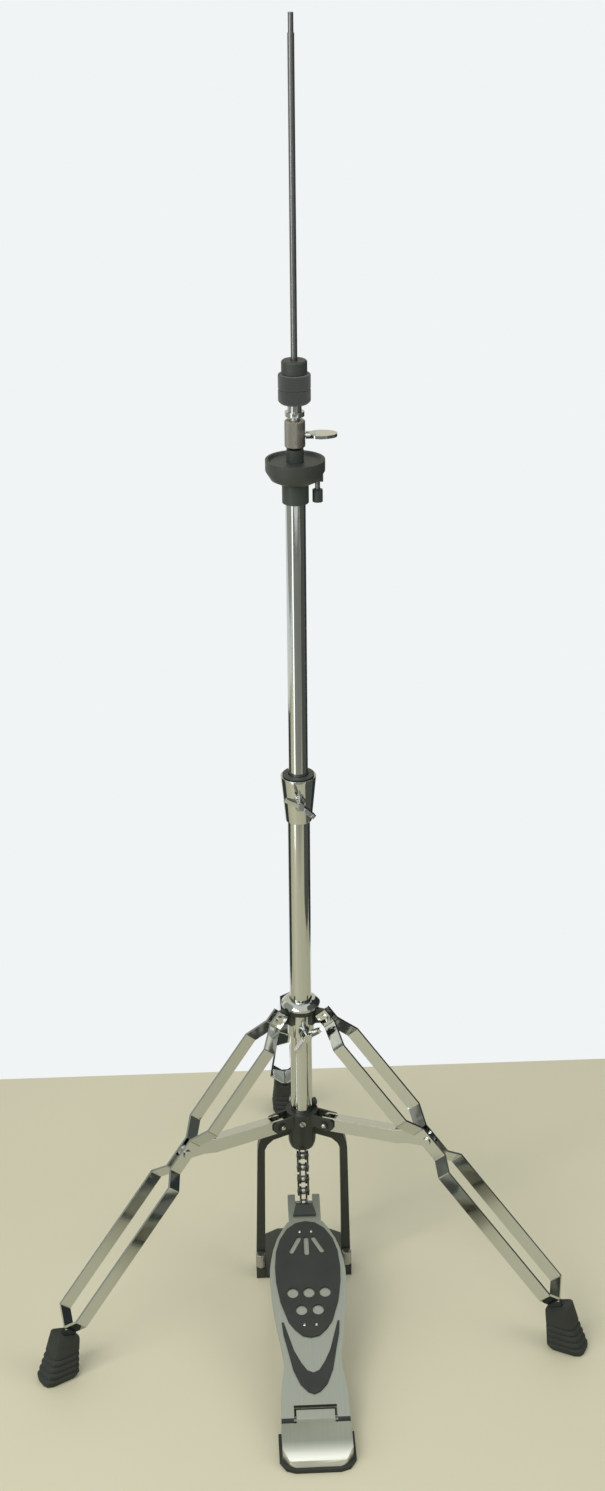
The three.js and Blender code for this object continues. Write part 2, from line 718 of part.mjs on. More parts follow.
// Rubber foot: rounded rectangles stacked from the floor up, cut to take the two strips
function rubberFoot() {
  const levels = [[0, -rubberChamfer], [rubberChamfer, 0]];
  for (let i = 0; i < rubberRibCount; i += 1) {
    const base = rubberRibsStart + i * rubberRibPitch;
    levels.push([base, 0], [base + rubberRibPitch * grooveMiddleShare, -rubberRibDepth * 2]);
    levels.push([base + rubberRibPitch * grooveEndShare, 0]);
  }
  levels.push([rubberHeight, 0]);
  const quarter = (x, y) => (x * y > 0 ? cornerShares : cornerShares.slice().reverse())
    .map(([p, q]) => [x * p, y * q]);
  const around = [...quarter(1, 1), ...quarter(-1, 1), ...quarter(-1, -1), ...quarter(1, -1)];
  const places = [];
  const corners = [];
  for (const [height, growth] of levels) {
    const rise = height / rubberHeight;
    const length = THREE.MathUtils.lerp(rubberBottomLength, rubberTopLength, rise) + growth;
    const width = THREE.MathUtils.lerp(rubberBottomWidth, rubberTopWidth, rise) + growth;
    const middle = THREE.MathUtils.lerp(rubberContactRadius, rubberTopRadius, rise);
    const tilt = height === rubberHeight ? rubberTopTiltShare : 0;
    for (const [x, y] of around) {
      places.push(middle + x * length / 2, y * width / 2, height + tilt * x * length / 2);
    }
  }
  const count = around.length;
  for (let level = 0; level < levels.length - 1; level += 1) {
    for (let i = 0; i < count; i += 1) {
      const here = level * count + i;
      const next = level * count + (i + 1) % count;
      corners.push(here, next, next + count, here, next + count, here + count);
    }
  }
  const last = (levels.length - 1) * count;
  for (let i = 1; i < count - 1; i += 1) {
    corners.push(0, i + 1, i, last, last + i, last + i + 1);
  }
  const geometry = new THREE.BufferGeometry();
  geometry.setAttribute('position', new THREE.Float32BufferAttribute(places, 3));
  geometry.setIndex(corners);
  return geometry;
}

function makeLegs() {
  const lean = Math.PI / 2 - legAngle;
  const pockets = [1, -1].map((side) => {
    const path = ribbon(stripPath(side, fit), stripThickness + fit * 2);
    return turnedDown(slab(path, -stripWidth / 2 - fit, stripWidth / 2 + fit))
      .rotateY(lean).translate(legTopRadius, 0, legTopHeight);
  });
  const foot = cut(rubberFoot(), ...pockets);
  const middleBore = barAlongY(pinRadius + fit, -stripSpread, stripSpread, legUpper, 0);
  legDirections.forEach((direction, k) => {
    const group = radialGroup(direction);
    [['a', 1], ['b', -1]].forEach(([letter, side]) => {
      const flat = turnedDown(slab(ribbon(stripPath(side), stripThickness), -stripWidth / 2, stripWidth / 2));
      const head = barAlongY(pinHeadRadius,
        ...[side * stripCentre, side * (rivetInside + pinHeadHeight - fit)].sort((p, q) => p - q), 0, 0);
      const strip = cut(join(flat, head), middleBore);
      const mesh = add(`leg_${k + 1}_strip_${letter}`, strip, chrome(), group);
      mesh.position.set(legTopRadius, 0, legTopHeight);
      mesh.rotation.y = lean;
    });
    add(`foot_${k + 1}`, foot, blackRubber(), group);
  });
}

function makeLegCollar() {
  const bore = lowerTubeRadius + running;
  const ringBottom = collarRingTop - collarRingHeight;
  const turn = THREE.MathUtils.degToRad(collarBoltTurnDegrees);
  const body = spun([
    [bore, collarNeckBottom], [collarNeckRadius, collarNeckBottom], [collarNeckRadius, ringBottom],
    [collarRingRadius, ringBottom], [collarRingRadius, ringBottom + collarRimHeight],
    [collarShoulderRadius, collarRingTop - collarShoulderDrop], [collarRingTopRadius, collarRingTop],
    [bore, collarRingTop], [bore, collarNeckBottom],
  ]);
  const boss = barAlongX(bossRadius, 0, collarNeckRadius + bossLength, 0, collarBoltHeight).rotateZ(turn);
  const bolt = barAlongX(boltRadius + fit, 0, collarNeckRadius + bossLength + overrun, 0, collarBoltHeight,
    tinySides).rotateZ(turn);
  add('leg_collar', cut(
    join(body, boss),
    drum(bore, collarNeckBottom - bossRadius - overrun, collarRingTop + overrun),
    bolt,
  ), chrome());

  const inner = collarNeckRadius + fit;
  const outer = inner + lugRingWall;
  const top = ringBottom - fit;
  const root = (inner + outer) / 2;
  const tongues = legDirections.map((direction) => slabAcrossY(outline([
    [root, top - lugHeight], [legTopRadius + lugReach * lugCornerShares[0], legTopHeight - lugReach],
    [legTopRadius + lugReach, legTopHeight], [legTopRadius + lugReach * lugCornerShares[1], top], [root, top],
  ]), -tongueFull / 2, tongueFull / 2).rotateZ(direction));
  const wall = ring(inner, outer, top - lugHeight, top);
  const pads = legDirections.map((direction) => common(wall,
    block(0, outer + overrun, -lugHalfWidth, lugHalfWidth, top - lugHeight, top).rotateZ(direction)));
  add('leg_lugs', cut(
    join(ring(inner, outer, top - lugRingHeight, top), ...pads, ...tongues),
    drum(inner, top - lugHeight - overrun, top + overrun),
  ), blackPaint());
}

function makeHeightClamp() {
  const bore = lowerTubeRadius + fit;
  const bottom = clampTop - clampHeight;
  const front = clampBottomRadius + bossLength;
  add('height_clamp', cut(
    join(
      spun([[bore, bottom], [clampBottomRadius, bottom], [clampTopRadius, clampTop - clampRimHeight],
        [clampTopRadius, clampTop], [bore, clampTop], [bore, bottom]]),
      barAlongY(bossRadius, -front, 0, 0, clampBoltHeight),
    ),
    drum(bore, bottom - overrun, clampTop + overrun),
    barAlongY(boltRadius + fit, -front - overrun, 0, 0, clampBoltHeight, tinySides),
  ), chrome());
  const skirt = lowerTubeRadius - fit;
  const inner = upperTubeRadius + running;
  const seat = clampTop + fit;
  add('clamp_bushing', spun([
    [inner, lowerTubeTop + fit], [skirt, lowerTubeTop + fit], [skirt, seat], [bushingRadius, seat],
    [bushingRadius, seat + bushingFlange], [inner, seat + bushingFlange], [inner, lowerTubeTop + fit],
  ]), blackPlastic());
}

// Half width and distance along of the clutch's thumb leaf, as shares
const leafShares = [
  [0, 0.12], [0.34, 0.13], [0.82, 0.24], [1, 0.44], [0.93, 0.66], [0.66, 0.88], [0.3, 0.98], [0, 1],
];

function makeWingBolts() {
  const tubeFace = lowerTubeRadius + fit;
  const clampFace = clampBottomRadius + bossLength + fit;
  const clampTurn = -THREE.MathUtils.degToRad(clampBoltTurnDegrees);
  const wings = wingOutline(wingHubLength, wingSpan, wingDepth);
  const clampWing = add('height_wing_bolt', wingBolt(boltRadius, clampFace - tubeFace, wingHubRadius,
    wingHubLength, wings, wingThickness).rotateZ(clampTurn), chrome());
  clampWing.position.set(0, -clampFace, clampBoltHeight);
  clampWing.rotation.x = Math.PI / 2;

  const collarFace = collarNeckRadius + bossLength + fit;
  const collarTurn = -THREE.MathUtils.degToRad(collarWingLeanDegrees);
  const group = radialGroup(THREE.MathUtils.degToRad(collarBoltTurnDegrees));
  const collarWing = add('collar_wing_bolt', wingBolt(boltRadius, collarFace - tubeFace, wingHubRadius,
    wingHubLength, wings, wingThickness).rotateZ(collarTurn), chrome(), group);
  collarWing.position.set(collarFace, 0, collarBoltHeight);
  collarWing.rotation.y = Math.PI / 2;

  const clutchFace = clutchBodyRadius + fit;
  const clutchTurn = THREE.MathUtils.degToRad(clutchWingTurnDegrees);
  const leaf = outline(mirrored(leafShares.map(([across, along]) => [
    across * clutchLeafHalfWidth, along * clutchLeafLength])));
  const clutchWing = add('clutch_wing_bolt', wingBolt(clutchBoltRadius, clutchFace - rodRadius - fit,
    clutchWingHubRadius, clutchWingHubLength, leaf, clutchLeafThickness).rotateZ(clutchTurn), chrome());
  clutchWing.position.set(clutchFace, 0, clutchBottom + clutchWingRise);
  clutchWing.rotation.y = Math.PI / 2;
}

function makeSeat() {
  const tubeSocket = upperTubeRadius + fit;
  const neckTop = seatPivotHeight - fit;
  add('seat_holder', spun([
    [tubeSocket, seatNeckBottom], [seatNeckRadius, seatNeckBottom], [seatNeckRadius, neckTop - seatNeckDome],
    [seatNeckTipRadius, neckTop], [rodRadius + running, neckTop],
    [rodRadius + running, seatPivotHeight - seatTubeSeat], [tubeSocket, seatPivotHeight - seatTubeSeat],
    [tubeSocket, seatNeckBottom],
  ]), blackPlastic());

  const floor = seatHeight - seatRecess;
  const hollow = seatNeckRadius + running * 3;
  const sleeveSeat = floor - sleeveDepth;
  const rimBottom = seatHeight - seatRimHeight;
  const cup = spun([
    [hollow, seatConeHeight], [seatConeRadius, seatConeHeight],
    [THREE.MathUtils.lerp(seatConeRadius, seatRadius, seatBowlShares[0]),
      THREE.MathUtils.lerp(seatConeHeight, rimBottom, seatBowlShares[1])],
    [seatRadius, rimBottom], [seatRadius, seatHeight], [seatRadius - seatRimWall, seatHeight],
    [seatRadius - seatRimWall - seatRecess, floor], [sleeveRadius + fit, floor],
    [sleeveRadius + fit, sleeveSeat], [sleeveBore, sleeveSeat], [sleeveBore, seatPivotHeight],
    [hollow, seatPivotHeight], [hollow, seatConeHeight],
  ]);
  const lug = block(tiltScrewOffset - tiltLugHalfWidth, tiltScrewOffset + tiltLugHalfWidth, -tiltLugHalfWidth,
    tiltLugHalfWidth, tiltLugBottom, seatHeight - seatRimHeight / 2);
  const lugBore = drum(tiltScrewRadius + fit, tiltLugBottom - overrun, tiltLugBottom + tiltScrewDepth + fit,
    smallSides).translate(tiltScrewOffset, 0, 0);
  const inside = drum(seatRadius - fit, tiltLugBottom - overrun, seatHeight);
  add('seat_cup', cut(join(cup, common(lug, inside)), lugBore), blackPlastic());
  add('seat_sleeve', ring(sleeveBore, sleeveRadius, sleeveSeat + fit, sleeveTop), blackPlastic());

  const knobTop = tiltLugBottom - tiltKnobDrop;
  add('tilt_screw', join(
    drum(tiltScrewRadius, knobTop - lap, tiltLugBottom + tiltScrewDepth, smallSides),
    drum(tiltKnobRadius, knobTop - tiltKnobHeight, knobTop, smallSides),
  ), blackPlastic()).position.set(tiltScrewOffset, 0, 0);
}

function makeClutch() {
  const bore = rodRadius + fit;
  const socket = stemRadius + fit;
  const bodyTop = clutchBottom + clutchBodyHeight;
  const stemBottom = bodyTop - stemDepth;
  const feltTop = feltBottom + feltThickness * 2 + fit;
  const nutTop = feltTop + fit + endNutHeight;
  const stemTop = nutTop - endNutRoof - fit;
  const ringNutTop = ringNutHeight + ringNutThickness;
  const body = spun([
    [bore, clutchBottom], [clutchBodyRadius - clutchBodyEdge, clutchBottom],
    [clutchBodyRadius, clutchBottom + clutchBodyEdge], [clutchBodyRadius, bodyTop - clutchBodyEdge],
    [clutchBodyRadius - clutchBodyEdge, bodyTop], [socket, bodyTop], [socket, stemBottom],
    [bore, stemBottom], [bore, clutchBottom],
  ]);
  const wingBore = barAlongX(clutchBoltRadius + fit, 0, clutchBodyRadius + overrun, 0,
    clutchBottom + clutchWingRise, tinySides);
  add('clutch_body', cut(body, wingBore), finish(0xa8a7a0, 0.3, 1));
  add('clutch_stem', ring(bore, stemRadius, stemBottom + fit, stemTop, smallSides), chrome());
  add('clutch_ring_nut', spun([
    [socket, ringNutHeight], [ringNutRadius, ringNutHeight], [ringNutRadius, ringNutTop],
    [ringNutNeckRadius, ringNutTop], [ringNutNeckRadius, feltBottom - fit], [socket, feltBottom - fit],
    [socket, ringNutHeight],
  ]), chrome());
  const felt = (bottom, low, high) => spun([
    [socket, bottom], [feltRadius - low, bottom], [feltRadius, bottom + low],
    [feltRadius, bottom + feltThickness - high], [feltRadius - high, bottom + feltThickness],
    [socket, bottom + feltThickness], [socket, bottom],
  ]);
  add('clutch_felt_1', felt(feltBottom, feltChamfer, feltChamfer / 4), blackFelt());
  add('clutch_felt_2', felt(feltBottom + feltThickness + fit, feltChamfer / 4, feltChamfer / 4), blackFelt());
  add('clutch_end_nut', spun([
    [socket, feltTop + fit], [endNutRadius, feltTop + fit], [endNutRadius, nutTop - endNutEdge],
    [endNutRadius - endNutEdge, nutTop], [bore, nutTop], [bore, nutTop - endNutRoof],
    [socket, nutTop - endNutRoof], [socket, feltTop + fit],
  ]), blackPlastic());
}

function makePullRod() {
  const clevisTop = chainTop + clevisNeck + clevisBlockHeight;
  const rodBottom = clevisTop - clevisBlockHeight + lap;
  add('pull_rod_upper', spun([
    [0, rodJointHeight + fit], [rodRadius, rodJointHeight + fit], [rodRadius, rodTop - rodStudLength],
    [rodStudRadius, rodTop - rodStudLength], [rodStudRadius, rodTop], [0, rodTop],
  ], smallSides), rodSteel());
  add('pull_rod_lower', drum(rodRadius, rodBottom, rodJointHeight, smallSides), rodSteel());
  add('rod_coupler', ring(rodRadius + fit, couplerRadius, rodJointHeight - couplerLength / 2,
    rodJointHeight + couplerLength / 2, smallSides), rodSteel());

  const springBottom = springSeatHeight + springSeatThickness + fit;
  const springTop = springBottom + springLength;
  add('spring_cap', ring(rodRadius + fit, springRadius, springTop + fit, springTop + fit + springCapThickness,
    smallSides), blackPlastic());
  add('return_spring', ring(springRadius - springWireThickness, springRadius, springBottom, springTop,
    smallSides), springSteel());
  add('spring_seat', ring(rodRadius + running, lowerTubeInner - fit, springSeatHeight,
    springSeatHeight + springSeatThickness), blackPlastic());

  const outerHalf = chainInnerHalf + chainPlate + fit + clevisWall;
  const ears = [-1, 1].map((side) => block(
    ...[side * (outerHalf - clevisWall), side * outerHalf].sort((p, q) => p - q),
    -clevisHalfDepth, clevisHalfDepth, chainTop - clevisDrop, chainTop + clevisNeck + lap));
  add('rod_clevis', cut(
    join(drum(clevisBlockRadius, chainTop + clevisNeck, clevisTop, smallSides), ...ears,
      barAlongX(chainPinRadius, -outerHalf, outerHalf, 0, chainTop, tinySides)),
    drum(rodRadius + fit, rodBottom - fit, clevisTop + overrun, smallSides),
  ), rodSteel());
}

function makeTensionKnob() {
  const group = radialGroup(THREE.MathUtils.degToRad(knobTurnDegrees));
  const from = lowerTubeRadius + fit;
  add('tension_knob', join(
    barAlongX(knobRadius, from, from + knobLength, 0, knobHeight),
    barAlongX(knobShankRadius, lowerTubeInner, from + lap, 0, knobHeight, tinySides),
  ), blackPlastic(), group);
}

// Roller chain: links with bushes and links with pins take turns; the last one hangs loosely on the toe pin
function makeChain() {
  const group = new THREE.Group();
  group.position.z = chainTop;
  group.rotation.x = -chainLean;
  stand.add(group);
  for (let i = 0; i < chainLinks; i += 1) {
    const inner = i % 2 === 0;
    const from = chainInnerHalf + (inner ? 0 : chainPlate + fit);
    const high = -i * chainPitch;
    const low = high - chainPitch;
    const plates = [-1, 1].map((side) => slabAcrossX(stadium(0, low, 0, high, chainPlateRadius),
      ...[side * from, side * (from + chainPlate)].sort((p, q) => p - q), tinySides / 2));
    const reach = from + chainPlate / 2;
    const barRadius = inner ? chainRollerRadius : chainPinRadius;
    const bars = [high, low].map((z) => barAlongX(barRadius, -reach, reach, 0, z, tinySides));
    const pieces = join(...plates, ...bars);
    const slack = (z) => (i === chainLinks - 1 && z === low ? toeFreedom : fit);
    const bores = [high, low].map((z) => barAlongX(chainPinRadius + slack(z), -chainPlateRadius - overrun,
      chainPlateRadius + overrun, 0, z, tinySides));
    add(`chain_link_${i + 1}`, inner ? cut(pieces, ...bores) : pieces, rodSteel(), group);
  }
}

// Outlines on the footboard: half width and distance along, as shares of its half width and length
const boardShares = [
  [0.875, 0], [0.862, 0.075], [0.805, 0.16], [0.742, 0.225], [0.745, 0.265], [0.82, 0.345], [0.905, 0.43],
  [0.977, 0.525], [1, 0.615], [0.995, 0.665], [0.95, 0.715], [0.885, 0.762], [0.778, 0.812], [0.615, 0.86],
  [0.475, 0.893],
];
const padShares = [
  [0, 0], [0.25, 0.015], [0.48, 0.07], [0.66, 0.135], [0.88, 0.305], [0.985, 0.475], [1, 0.6],
  [0.95, 0.735], [0.82, 0.84], [0.58, 0.935], [0.3, 0.985], [0, 1],
];
const chevronOuterShares = [
  [1, 1], [0.96, 0.83], [0.85, 0.645], [0.68, 0.335], [0.46, 0.135], [0.2, 0.03], [0, 0],
];
const chevronInnerShares = [[0, 0.287], [0.2, 0.32], [0.4, 0.43], [0.62, 0.6], [0.93, 1]];
const padHoleShares = [[-0.49, 0.375], [0, 0.375], [0.49, 0.375], [-0.25, 0.228], [0.25, 0.228]];
const padSlotShares = [[-0.345, 0.79, 0.5], [0, 0.78, 0], [0.345, 0.79, -0.5]];

function makeFootboard() {
  const group = new THREE.Group();
  group.position.set(0, -hingeBack, hingeHeight);
  group.rotation.x = boardRise;
  stand.add(group);

  const edge = boardShares.map(([across, along]) => [across * boardHalfWidth, along * boardLength]);
  const notch = tongueHalfWidth + tongueSideGap;
  const plate = outline(mirrored([
    [notch, tongueLength + tongueFrontGap], [notch, 0], ...edge, [earOuter, earStart],
    [earOuter, boardToeEnd],
  ]));
  const side = edge[0][0];
  const knuckles = [-1, 1].map((way) => barAlongX(knuckleRadius,
    ...[way * notch, way * side].sort((p, q) => p - q), 0, 0));
  const ears = [-1, 1].map((way) => slabAcrossX(outline([
    [earStart, boardBottom], [boardLength - earDrop, -earDrop], [boardLength + earDrop / 2, -earDrop],
    [earEnd, -earDrop / 4], [earEnd, boardTop - knuckleRadius / 3], [earEnd - knuckleRadius / 3, boardTop],
    [earStart, boardTop],
  ]), ...[way * earInner, way * earOuter].sort((p, q) => p - q)));
  const slot = block(-earInner, earInner, boardToeEnd, earEnd + overrun, -earDrop - overrun,
    boardTop + overrun);
  add('footboard', cut(
    join(cut(slab(plate, boardBottom, boardTop), slot), ...knuckles, ...ears),
    barAlongX(hingePinRadius + running, -side - overrun, side + overrun, 0, 0),
    barAlongX(toePinRadius + fit, -earOuter - overrun, earOuter + overrun, boardLength, 0, tinySides),
  ), brushedAluminium(), group);

  const face = boardTop + fit;
  const padLength = padEnd - padStart;
  const pad = outline(mirrored(padShares.map(([across, along]) => [
    across * padHalfWidth, padStart + along * padLength])));
  for (const [across, along] of padHoleShares) {
    pad.holes.push(new THREE.Path().absarc(across * padHalfWidth, padStart + along * padLength, padHoleRadius,
      0, 2 * Math.PI, true));
  }
  for (const [across, along, lean] of padSlotShares) {
    const dx = -Math.sin(lean) * padSlotLength / 2;
    const dy = Math.cos(lean) * padSlotLength / 2;
    const x = across * padHalfWidth;
    const y = padStart + along * padLength;
    pad.holes.push(stadium(x + dx, y - dy, x - dx, y + dy, padSlotRadius));
  }
  add('footboard_pad', slab(pad, face, face + padThickness, tinySides / 2), blackRubber(), group);

  const chevronLength = chevronTop - chevronBottom;
  const arm = (shares) => shares.map(([across, along]) => [
    across * chevronHalfWidth, chevronBottom + along * chevronLength]);
  const chevron = [
    ...arm(chevronOuterShares), ...arm(chevronOuterShares).slice(0, -1).reverse().map(([x, y]) => [-x, y]),
    ...arm(chevronInnerShares).slice(1).reverse().map(([x, y]) => [-x, y]), ...arm(chevronInnerShares),
  ];
  add('footboard_chevron', slab(outline(chevron), face, face + padThickness), blackRubber(), group);

  add('toe_block', slab(outline(mirrored([
    [blockHalfWidth, blockStart], [blockEndHalfWidth, blockStart + blockLength],
  ])), face, face + blockHeight), blackPlastic(), group);
  add('toe_pin', barAlongX(toePinRadius, -earOuter, earOuter, boardLength, 0, tinySides), rodSteel(), group);
}

const heelCornerShares = [0.72, 0.93];
const heelBackShares = [[0.55, 0.93], [0.8, 0.74], [0.95, 0.4]];

function heelOutline(margin) {
  const start = -hingeBack - heelShoulder + margin;
  const end = -hingeBack - heelShoulder - heelLength - margin;
  const length = start - end;
  return outline(mirrored([
    [heelHalfWidth + margin, start],
    [heelHalfWidth + margin, start - length * heelCornerShares[0]],
    [(heelHalfWidth + heelNoseHalfWidth) / 2 + margin, start - length * heelCornerShares[1]],
    [heelNoseHalfWidth, end],
  ]));
}

function makeHeel() {
  const bottom = heelRubberThickness + fit;
  const start = -hingeBack - heelShoulder;
  const end = start - heelLength;
  const tall = heelHeight - bottom;
  const side = outline([
    [start, bottom], [start, heelHeight],
    ...heelBackShares.map(([along, up]) => [start - heelLength * along, bottom + tall * up]),
    [end, bottom],
  ]);
  const plate = common(
    slabAcrossX(side, -heelHalfWidth - overrun, heelHalfWidth + overrun),
    slab(heelOutline(0), 0, heelHeight + overrun),
  );
  const bridge = block(-tongueHalfWidth, tongueHalfWidth, start - lap, -hingeBack,
    hingeHeight - knuckleRadius, heelHeight);
  const tongue = block(-tongueHalfWidth, tongueHalfWidth, 0, tongueLength, boardTop - tongueThickness,
    boardTop).rotateX(boardRise).translate(0, -hingeBack, hingeHeight);
  const knuckle = barAlongX(knuckleRadius, -tongueHalfWidth, tongueHalfWidth, -hingeBack, hingeHeight);
  const tieBores = [-1, 1].map((way) => barAlongY(tieRodRadius + fit, start - tieRodDepth - fit,
    start + overrun, way * tieRodSpread, tieRodHeight, tinySides));
  add('heel_plate', cut(
    join(plate, bridge, tongue, knuckle),
    barAlongX(hingePinRadius + fit, -tongueHalfWidth - overrun, tongueHalfWidth + overrun, -hingeBack,
      hingeHeight),
    ...tieBores,
  ), brushedAluminium());
  add('heel_rubber', slab(heelOutline(heelRubberMargin), 0, heelRubberThickness), blackRubber());
  const reach = boardShares[0][0] * boardHalfWidth;
  add('heel_pin', barAlongX(hingePinRadius, -reach, reach, -hingeBack, hingeHeight), rodSteel());
}

makeTubes();
makePedalFrame();
makeSpurs();
makeBasePlate();
makeTieRods();
makeBracket();
makeBraces();
makeLegs();
makeLegCollar();
makeHeightClamp();
makeWingBolts();
makeSeat();
makeClutch();
makePullRod();
makeTensionKnob();
makeChain();
makeFootboard();
makeHeel();

export default stand;
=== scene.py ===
import json
import math

import bmesh
import bpy
from mathutils import Matrix, Vector

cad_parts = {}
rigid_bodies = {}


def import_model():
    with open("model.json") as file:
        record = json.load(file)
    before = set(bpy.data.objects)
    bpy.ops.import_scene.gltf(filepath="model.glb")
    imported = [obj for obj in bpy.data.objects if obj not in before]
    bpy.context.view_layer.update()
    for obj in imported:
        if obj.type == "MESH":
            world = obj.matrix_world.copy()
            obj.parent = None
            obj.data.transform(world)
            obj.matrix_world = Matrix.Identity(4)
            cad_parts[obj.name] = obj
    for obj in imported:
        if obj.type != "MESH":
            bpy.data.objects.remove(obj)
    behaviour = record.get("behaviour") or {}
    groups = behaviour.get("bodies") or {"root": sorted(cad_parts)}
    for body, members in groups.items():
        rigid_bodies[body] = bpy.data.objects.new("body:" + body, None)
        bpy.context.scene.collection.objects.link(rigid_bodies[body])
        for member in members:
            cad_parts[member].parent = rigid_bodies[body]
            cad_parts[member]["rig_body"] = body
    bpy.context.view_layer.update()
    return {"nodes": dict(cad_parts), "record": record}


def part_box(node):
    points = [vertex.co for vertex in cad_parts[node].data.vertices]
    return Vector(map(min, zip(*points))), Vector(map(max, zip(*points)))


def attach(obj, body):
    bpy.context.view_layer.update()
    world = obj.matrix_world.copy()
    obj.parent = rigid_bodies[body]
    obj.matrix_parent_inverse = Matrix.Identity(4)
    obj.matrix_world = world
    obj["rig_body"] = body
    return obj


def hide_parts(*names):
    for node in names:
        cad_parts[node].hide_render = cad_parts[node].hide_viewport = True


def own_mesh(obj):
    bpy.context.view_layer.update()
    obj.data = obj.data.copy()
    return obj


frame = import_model()
mm = 0.001                  # sizes of pieces are in millimetres
weldReach = 0.001 * mm      # points closer than this are one point
scene = bpy.context.scene
scene.view_settings.view_transform = "Standard"
slotOf = {row["node"]: row["material_slot"] for row in frame["record"]["subparts"]}
print("stage: frame loaded with", len(frame["nodes"]), "nodes")


# Small tools

def linearColour(code):
    parts = [int(code[i:i + 2], 16) / 255 for i in (1, 3, 5)]
    return [c / 12.92 if c <= 0.04045 else ((c + 0.055) / 1.055) ** 2.4 for c in parts] + [1]


def addNode(tree, kind, inputs=None, **settings):
    # each input is a plain value, or another node's output to link
    node = tree.nodes.new(kind)
    for name, value in settings.items():
        setattr(node, name, value)
    for socket, value in (inputs or {}).items():
        if isinstance(value, bpy.types.NodeSocket):
            tree.links.new(value, node.inputs[socket])
        else:
            node.inputs[socket].default_value = value
    return node


def startFinish(name):
    finish = bpy.data.materials.new(name)
    finish.use_nodes = True
    tree = finish.node_tree
    tree.nodes.clear()
    return finish, tree, addNode(tree, "ShaderNodeTexCoord").outputs["Object"]


def endFinish(tree, inputs):
    shader = addNode(tree, "ShaderNodeBsdfPrincipled", inputs)
    addNode(tree, "ShaderNodeOutputMaterial", {"Surface": shader.outputs[0]})


def moved(shape, place):
    bmesh.ops.transform(shape, matrix=place, verts=shape.verts)
    return shape


def rounded(shape, width, segments=2, least=35, most=181):
    # rounds the edges whose faces meet at an angle between least and most degrees
    low, high = math.radians(least), math.radians(most)
    edges = [e for e in shape.edges if e.is_manifold and low < e.calc_face_angle() < high]
    bmesh.ops.bevel(shape, geom=edges, offset=width, offset_type="OFFSET", affect="EDGES",
                    segments=segments, profile=0.5, material=-1, clamp_overlap=True)
    return shape


squareEdge = {"least": 60, "most": 120}      # degrees between the faces


def roundedSquare(shape, width):
    # rounds the edges at about a right angle by a width in millimetres
    return rounded(shape, width * mm, least=squareEdge["least"], most=squareEdge["most"])


def raised(shape, faces, reach):
    # grows a solid out of the faces
    grown = bmesh.ops.extrude_face_region(shape, geom=faces)["geom"]
    lifted = [part for part in grown if isinstance(part, bmesh.types.BMVert)]
    bmesh.ops.translate(shape, vec=reach, verts=lifted)


def makePiece(name, shape, finish, body, slot, *nodes):
    # turns a finished shape into a piece that rides on a body and may stand for CAD nodes
    mesh = bpy.data.meshes.new(name)
    shape.to_mesh(mesh)
    shape.free()
    mesh.materials.append(finish)
    mesh.shade_smooth()
    piece = bpy.data.objects.new(name, mesh)
    scene.collection.objects.link(piece)
    even = piece.modifiers.new("even", "WEIGHTED_NORMAL")
    even.keep_sharp = True
    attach(piece, body)
    if nodes:
        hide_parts(*nodes)
    return piece


# Camera, solved from the photograph's feet, collars and tubes

photo = {
    "height": 1491,
    "focalPixels": 2155.3,
    "sensor": 36,
    "place": (-0.0794, -1.8922, 1.5194),
    "heading": (0.0442, 0.999, 0),
    "pitchDown": 0.439,
    "roll": -0.0094,
}


def makeCamera():
    pitch, roll = photo["pitchDown"], photo["roll"]
    level = Vector(photo["heading"]).normalized()
    right = Vector((level.y, -level.x, 0))
    forward = level * math.cos(pitch) - Vector((0, 0, 1)) * math.sin(pitch)
    up = right.cross(forward)
    side = right * math.cos(roll) + up * math.sin(roll)
    top = up * math.cos(roll) - right * math.sin(roll)
    data = bpy.data.cameras.new("camera")
    data.sensor_width = photo["sensor"]
    data.lens = photo["sensor"] * photo["focalPixels"] / photo["height"]
    camera = bpy.data.objects.new("camera", data)
    camera.location = photo["place"]
    camera.rotation_euler = Matrix((side, top, -forward)).transposed().to_euler()
    scene.collection.objects.link(camera)
    scene.camera = camera


makeCamera()


# Studio: pale floor, white surroundings, soft lamps, and glowing sheets that paint reflections into the metal

studio = {
    "floorColour": "#d3ceb1",
    "floorHalfWidth": 1.6,
    "floorBack": 0.385,
    "floorFront": -2.4,
    "floorRoughness": 0.6,
    "cloudsPerMetre": 3.0,
    "cloudTone": (0.96, 1.04),
    "paintedShadeFrom": -0.85,       # painted shade: where the floor that only metal mirrors starts to darken
    "paintedShadeTo": -1.15,
    "paintedShadeColour": "#8f8f88",
    "roomColour": "#f1f4f4",
    "roomLight": 0.62,
    "lampTarget": (0, 0, 0.55),
}
# painted reflections, glowing sheets that only metal mirrors, round the pole: bearing in degrees, distance,
# width, lower and upper edge, colour, strength
cards = {
    "front_wall": (-92, 2.9, 4.6, 0, 2.9, "#8a8b86", 1),
    "left_wall": (-172, 1.9, 3.6, 0, 2.9, "#a6aaa2", 1),
    "right_wall": (-8, 1.9, 3.6, 0, 2.9, "#6b7173", 1),
    "right_screen": (-14, 0.75, 0.8, 0, 1.5, "#595d57", 1),
    "right_edge": (40, 0.7, 0.67, 0, 1.5, "#33393b", 1),
    "left_edge": (148, 0.6, 0.52, 0, 0.4, "#3c443f", 1),
    "back_haze": (90, 1.6, 3.0, 0.35, 2.4, "#dfdcc9", 1),
    "window_line": (-133, 1.0, 0.24, 0, 1.4, "#f6fbff", 2.2),
    "front_window": (-92, 2.6, 0.8, 1.0, 2.8, "#fdfff6", 1.7),
}
ceilingCard = {"height": 2.9, "half": 2.3, "colour": "#e4e8e3"}
# soft lamps: place, width, height, power
lamps = {
    "key": ((-1.3, -1.7, 2.7), 1.5, 1.5, 34),
    "fill": ((2.0, -0.9, 1.7), 1.2, 1.6, 12),
    "strip": ((-1.5, -1.0, 1.3), 0.22, 1.9, 7),
}


